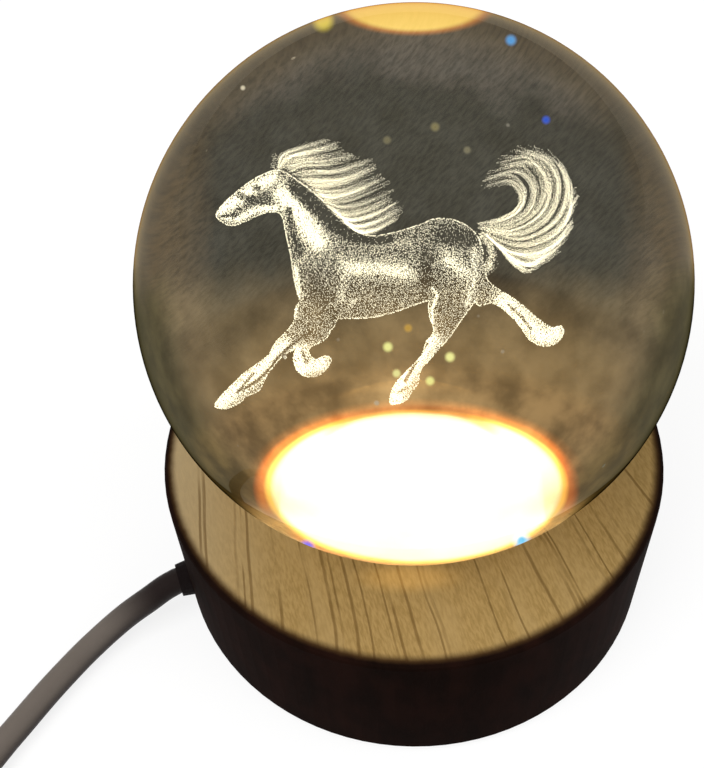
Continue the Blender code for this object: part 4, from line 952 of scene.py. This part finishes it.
def stipple(rng, outline, before, after, depth, thickness, rounding):
    """Dots on both faces of a rounded form, close together where light falls.

    Outlines before it cover it, and its edge doesn't show where it runs into the outlines after it.
    """
    low, high = outline.min(0), outline.max(0)
    across, up = np.meshgrid(*(np.arange(a, b, DOT_PITCH) for a, b in zip(low, high)))
    grid = np.column_stack([across.ravel(), up.ravel()])
    places = np.tile(grid, (2, 1))
    places += rng.uniform(-0.4, 0.4, places.shape) * DOT_PITCH
    second = np.repeat((False, True), len(grid))
    shown = is_inside(places, outline)
    for cover in before:
        shown &= ~is_inside(places, cover)
    places, second = places[shown], second[shown]
    free = np.ones(len(places), bool)
    for neighbour in after:
        free &= ~is_inside(places, neighbour)
    edge = to_line(places, np.vstack([outline, outline[:1]]))
    share = dot_shares(places, edge, free)
    second_share = np.clip((share - SECOND_DOT_SHARE) / (EDGE_SHARE - SECOND_DOT_SHARE), 0, 1)
    kept = rng.random(len(places)) < np.where(second, second_share, share)
    places, edge, share = places[kept], edge[kept], share[kept]
    swell = thickness * np.sqrt(1 - (1 - np.minimum(edge / rounding, 1)) ** 2)
    face = np.where(rng.random(len(places)) < FRONT_SHARE, 1, -1)
    sizes = DOT_SIZE + DOT_SWELL * share**2 + rng.uniform(-DOT_UNEVEN, DOT_UNEVEN, len(places))
    return np.column_stack([places, depth + face * swell, sizes])


def stroke_points(rng, line, width, count):
    """Dots scattered along a line."""
    route = smooth_line(line, STROKE_STEPS)
    places = route[rng.integers(len(route), size=count)] + rng.normal(0, width, (count, 2))
    return np.column_stack([places, rng.normal(STROKE_DEPTH, 0.15, count), np.full(count, DOT_SIZE)])


def hair_points(rng, guides, locks, strands, slip, shortest):
    """Strands in locks between the guide lines. Each shows at least the shortest share of its way."""
    guides = np.array([smooth_line(guide, HAIR_STEPS) for guide in guides])
    steps = guides.shape[1]
    growth = np.linspace(0, 1, steps)[:, None]
    drift = rng.normal(0, slip, (locks, 2))
    hair = []
    for _ in range(strands):
        lock = rng.integers(locks)
        share = np.clip((lock + 0.5 + rng.normal(0, LOCK_SPREAD)) / locks, 0, 0.999) * (len(guides) - 1)
        i = int(share)
        line = guides[i] + (guides[i + 1] - guides[i]) * (share - i)
        line += (drift[lock] + rng.normal(0, slip / 2, 2)) * growth
        line[:-1] += (line[1:] - line[:-1]) * rng.random()
        length = round(steps * rng.uniform(shortest, 1))
        first = rng.integers(steps - length + 1)
        line = line[first : first + length]
        depth = rng.normal(0, HAIR_DEPTH) * np.linspace(0.5, 1.3, length)
        hair.append(np.column_stack([line + rng.normal(0, HAIR_FUZZ, line.shape), depth]))
    return np.concatenate(hair)


def figure_points(rng):
    """The horse's points with their sizes, in millimetres across, up and towards the viewer."""
    outlines = [smooth_outline(corners) for corners in FIGURE]
    forms = zip(FIGURE_DEPTHS, FIGURE_THICKNESSES, FIGURE_ROUNDINGS)
    clouds = [
        stipple(rng, outlines[i], outlines[:i], outlines[i + 1 :], *form) for i, form in enumerate(forms)
    ]
    clouds.append(stroke_points(rng, EAR, width=0.10, count=60))
    clouds.append(stroke_points(rng, BUTTOCK, width=0.24, count=640))
    mane = hair_points(rng, MANE_GUIDES, locks=24, strands=430, slip=0.24, shortest=0.45)
    tail = hair_points(rng, TAIL_GUIDES, locks=30, strands=430, slip=0.22, shortest=0.30)
    hair = np.concatenate([mane, tail])
    clouds.append(np.column_stack([hair, rng.normal(HAIR_DOT, HAIR_DOT_UNEVEN, len(hair))]))
    cloud = np.concatenate(clouds)
    return cloud[:, :3] + FIGURE_SHIFT, cloud[:, 3]


def dots_mesh(points, sizes):
    """One small tetrahedron for each point."""
    corners = np.array([(1, 1, 1), (1, -1, -1), (-1, 1, -1), (-1, -1, 1)]) / math.sqrt(3)
    faces = np.array([(0, 1, 2), (0, 3, 1), (0, 2, 3), (1, 3, 2)])
    vertices = (points[:, None] + corners * sizes[:, None, None]).reshape(-1, 3)
    triangles = (faces[None] + 4 * np.arange(len(points))[:, None, None]).reshape(-1, 3)
    data = bpy.data.meshes.new("engraved_horse")
    data.from_pydata(vertices.tolist(), [], triangles.tolist())
    return data


def add_engraving(material):
    """A running horse made of fine points inside the ball, facing the viewer."""
    points, sizes = figure_points(np.random.default_rng(SEED))
    right = (CAMERA_RIGHT - TO_EYE * CAMERA_RIGHT.dot(TO_EYE)).normalized()
    axes = np.array([list(right), list(TO_EYE.cross(right)), list(TO_EYE)])
    data = dots_mesh(np.array(list(BALL_CENTRE)) + points * MM @ axes, sizes * MM)
    data.materials.append(material)
    horse = link("engraved_horse", data)
    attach(horse, "ball")


def floor_material():
    """Pale floor that keeps the lamp's shadow and shows white to the camera."""
    n = Nodes("pale_floor")
    n.finish(Base_Color=FLOOR_GREY, Roughness=0.9)
    rays = n.add("LightPath")
    seen = n.math("MAXIMUM", rays.outputs["Is Camera Ray"], rays.outputs["Is Glossy Ray"])
    seen = n.math("MAXIMUM", seen, rays.outputs["Is Transmission Ray"])
    white = n.add("Emission", {"Color": (1, 1, 1, 1), "Strength": FLOOR_GLOW})
    faint = n.add("BsdfDiffuse", {"Color": FLOOR_LIT})
    shown = n.add("AddShader", {0: white, 1: faint})
    n.put(n.output, "Surface", n.add("MixShader", {0: seen, 1: n.shader.outputs[0], 2: shown}))
    return n.material


def add_stage():
    """Floor, soft lamps and world."""
    mesh = bmesh.new()
    bmesh.ops.create_grid(mesh, x_segments=1, y_segments=1, size=FLOOR_SIZE)
    floor = add_mesh("floor", mesh, floor_material())

    world = bpy.data.worlds.new("room")
    world.use_nodes = True
    background = world.node_tree.nodes["Background"]
    background.inputs["Color"].default_value = WORLD_COLOUR
    background.inputs["Strength"].default_value = WORLD_STRENGTH
    bpy.context.scene.world = world

    for name, place, size, power in LAMPS:
        light = bpy.data.lights.new(name, "AREA")
        light.size = size
        light.energy = power
        lamp = link(name, light)
        lamp.location = place
        lamp.visible_glossy = False
        lamp.visible_transmission = False
        lamp.rotation_euler = (LAMP_AIM - Vector(place)).to_track_quat("-Z", "Y").to_euler()


def add_camera():
    data = bpy.data.cameras.new("photo_camera")
    data.sensor_width = SENSOR_MM
    data.lens = FOCAL_PIXELS * SENSOR_MM / IMAGE_HEIGHT
    data.clip_start = CLIP_START
    data.clip_end = CLIP_END
    camera = link("photo_camera", data)
    turn = Matrix((CAMERA_RIGHT, CAMERA_UP, CAMERA_RIGHT.cross(CAMERA_UP))).transposed().to_4x4()
    camera.matrix_world = Matrix.Translation(CAMERA_PLACE) @ turn
    bpy.context.scene.camera = camera


def main():
    materials = make_materials()
    dress_nodes(materials)
    add_camera()
    add_lamp_cord(materials["cord_sheath"])
    add_plug_cord(materials["cord_sheath"])
    add_ball(materials["crystal_glass"])
    add_engraving(dot_material())
    add_stage()
    bpy.context.scene.view_settings.view_transform = "Standard"


main()
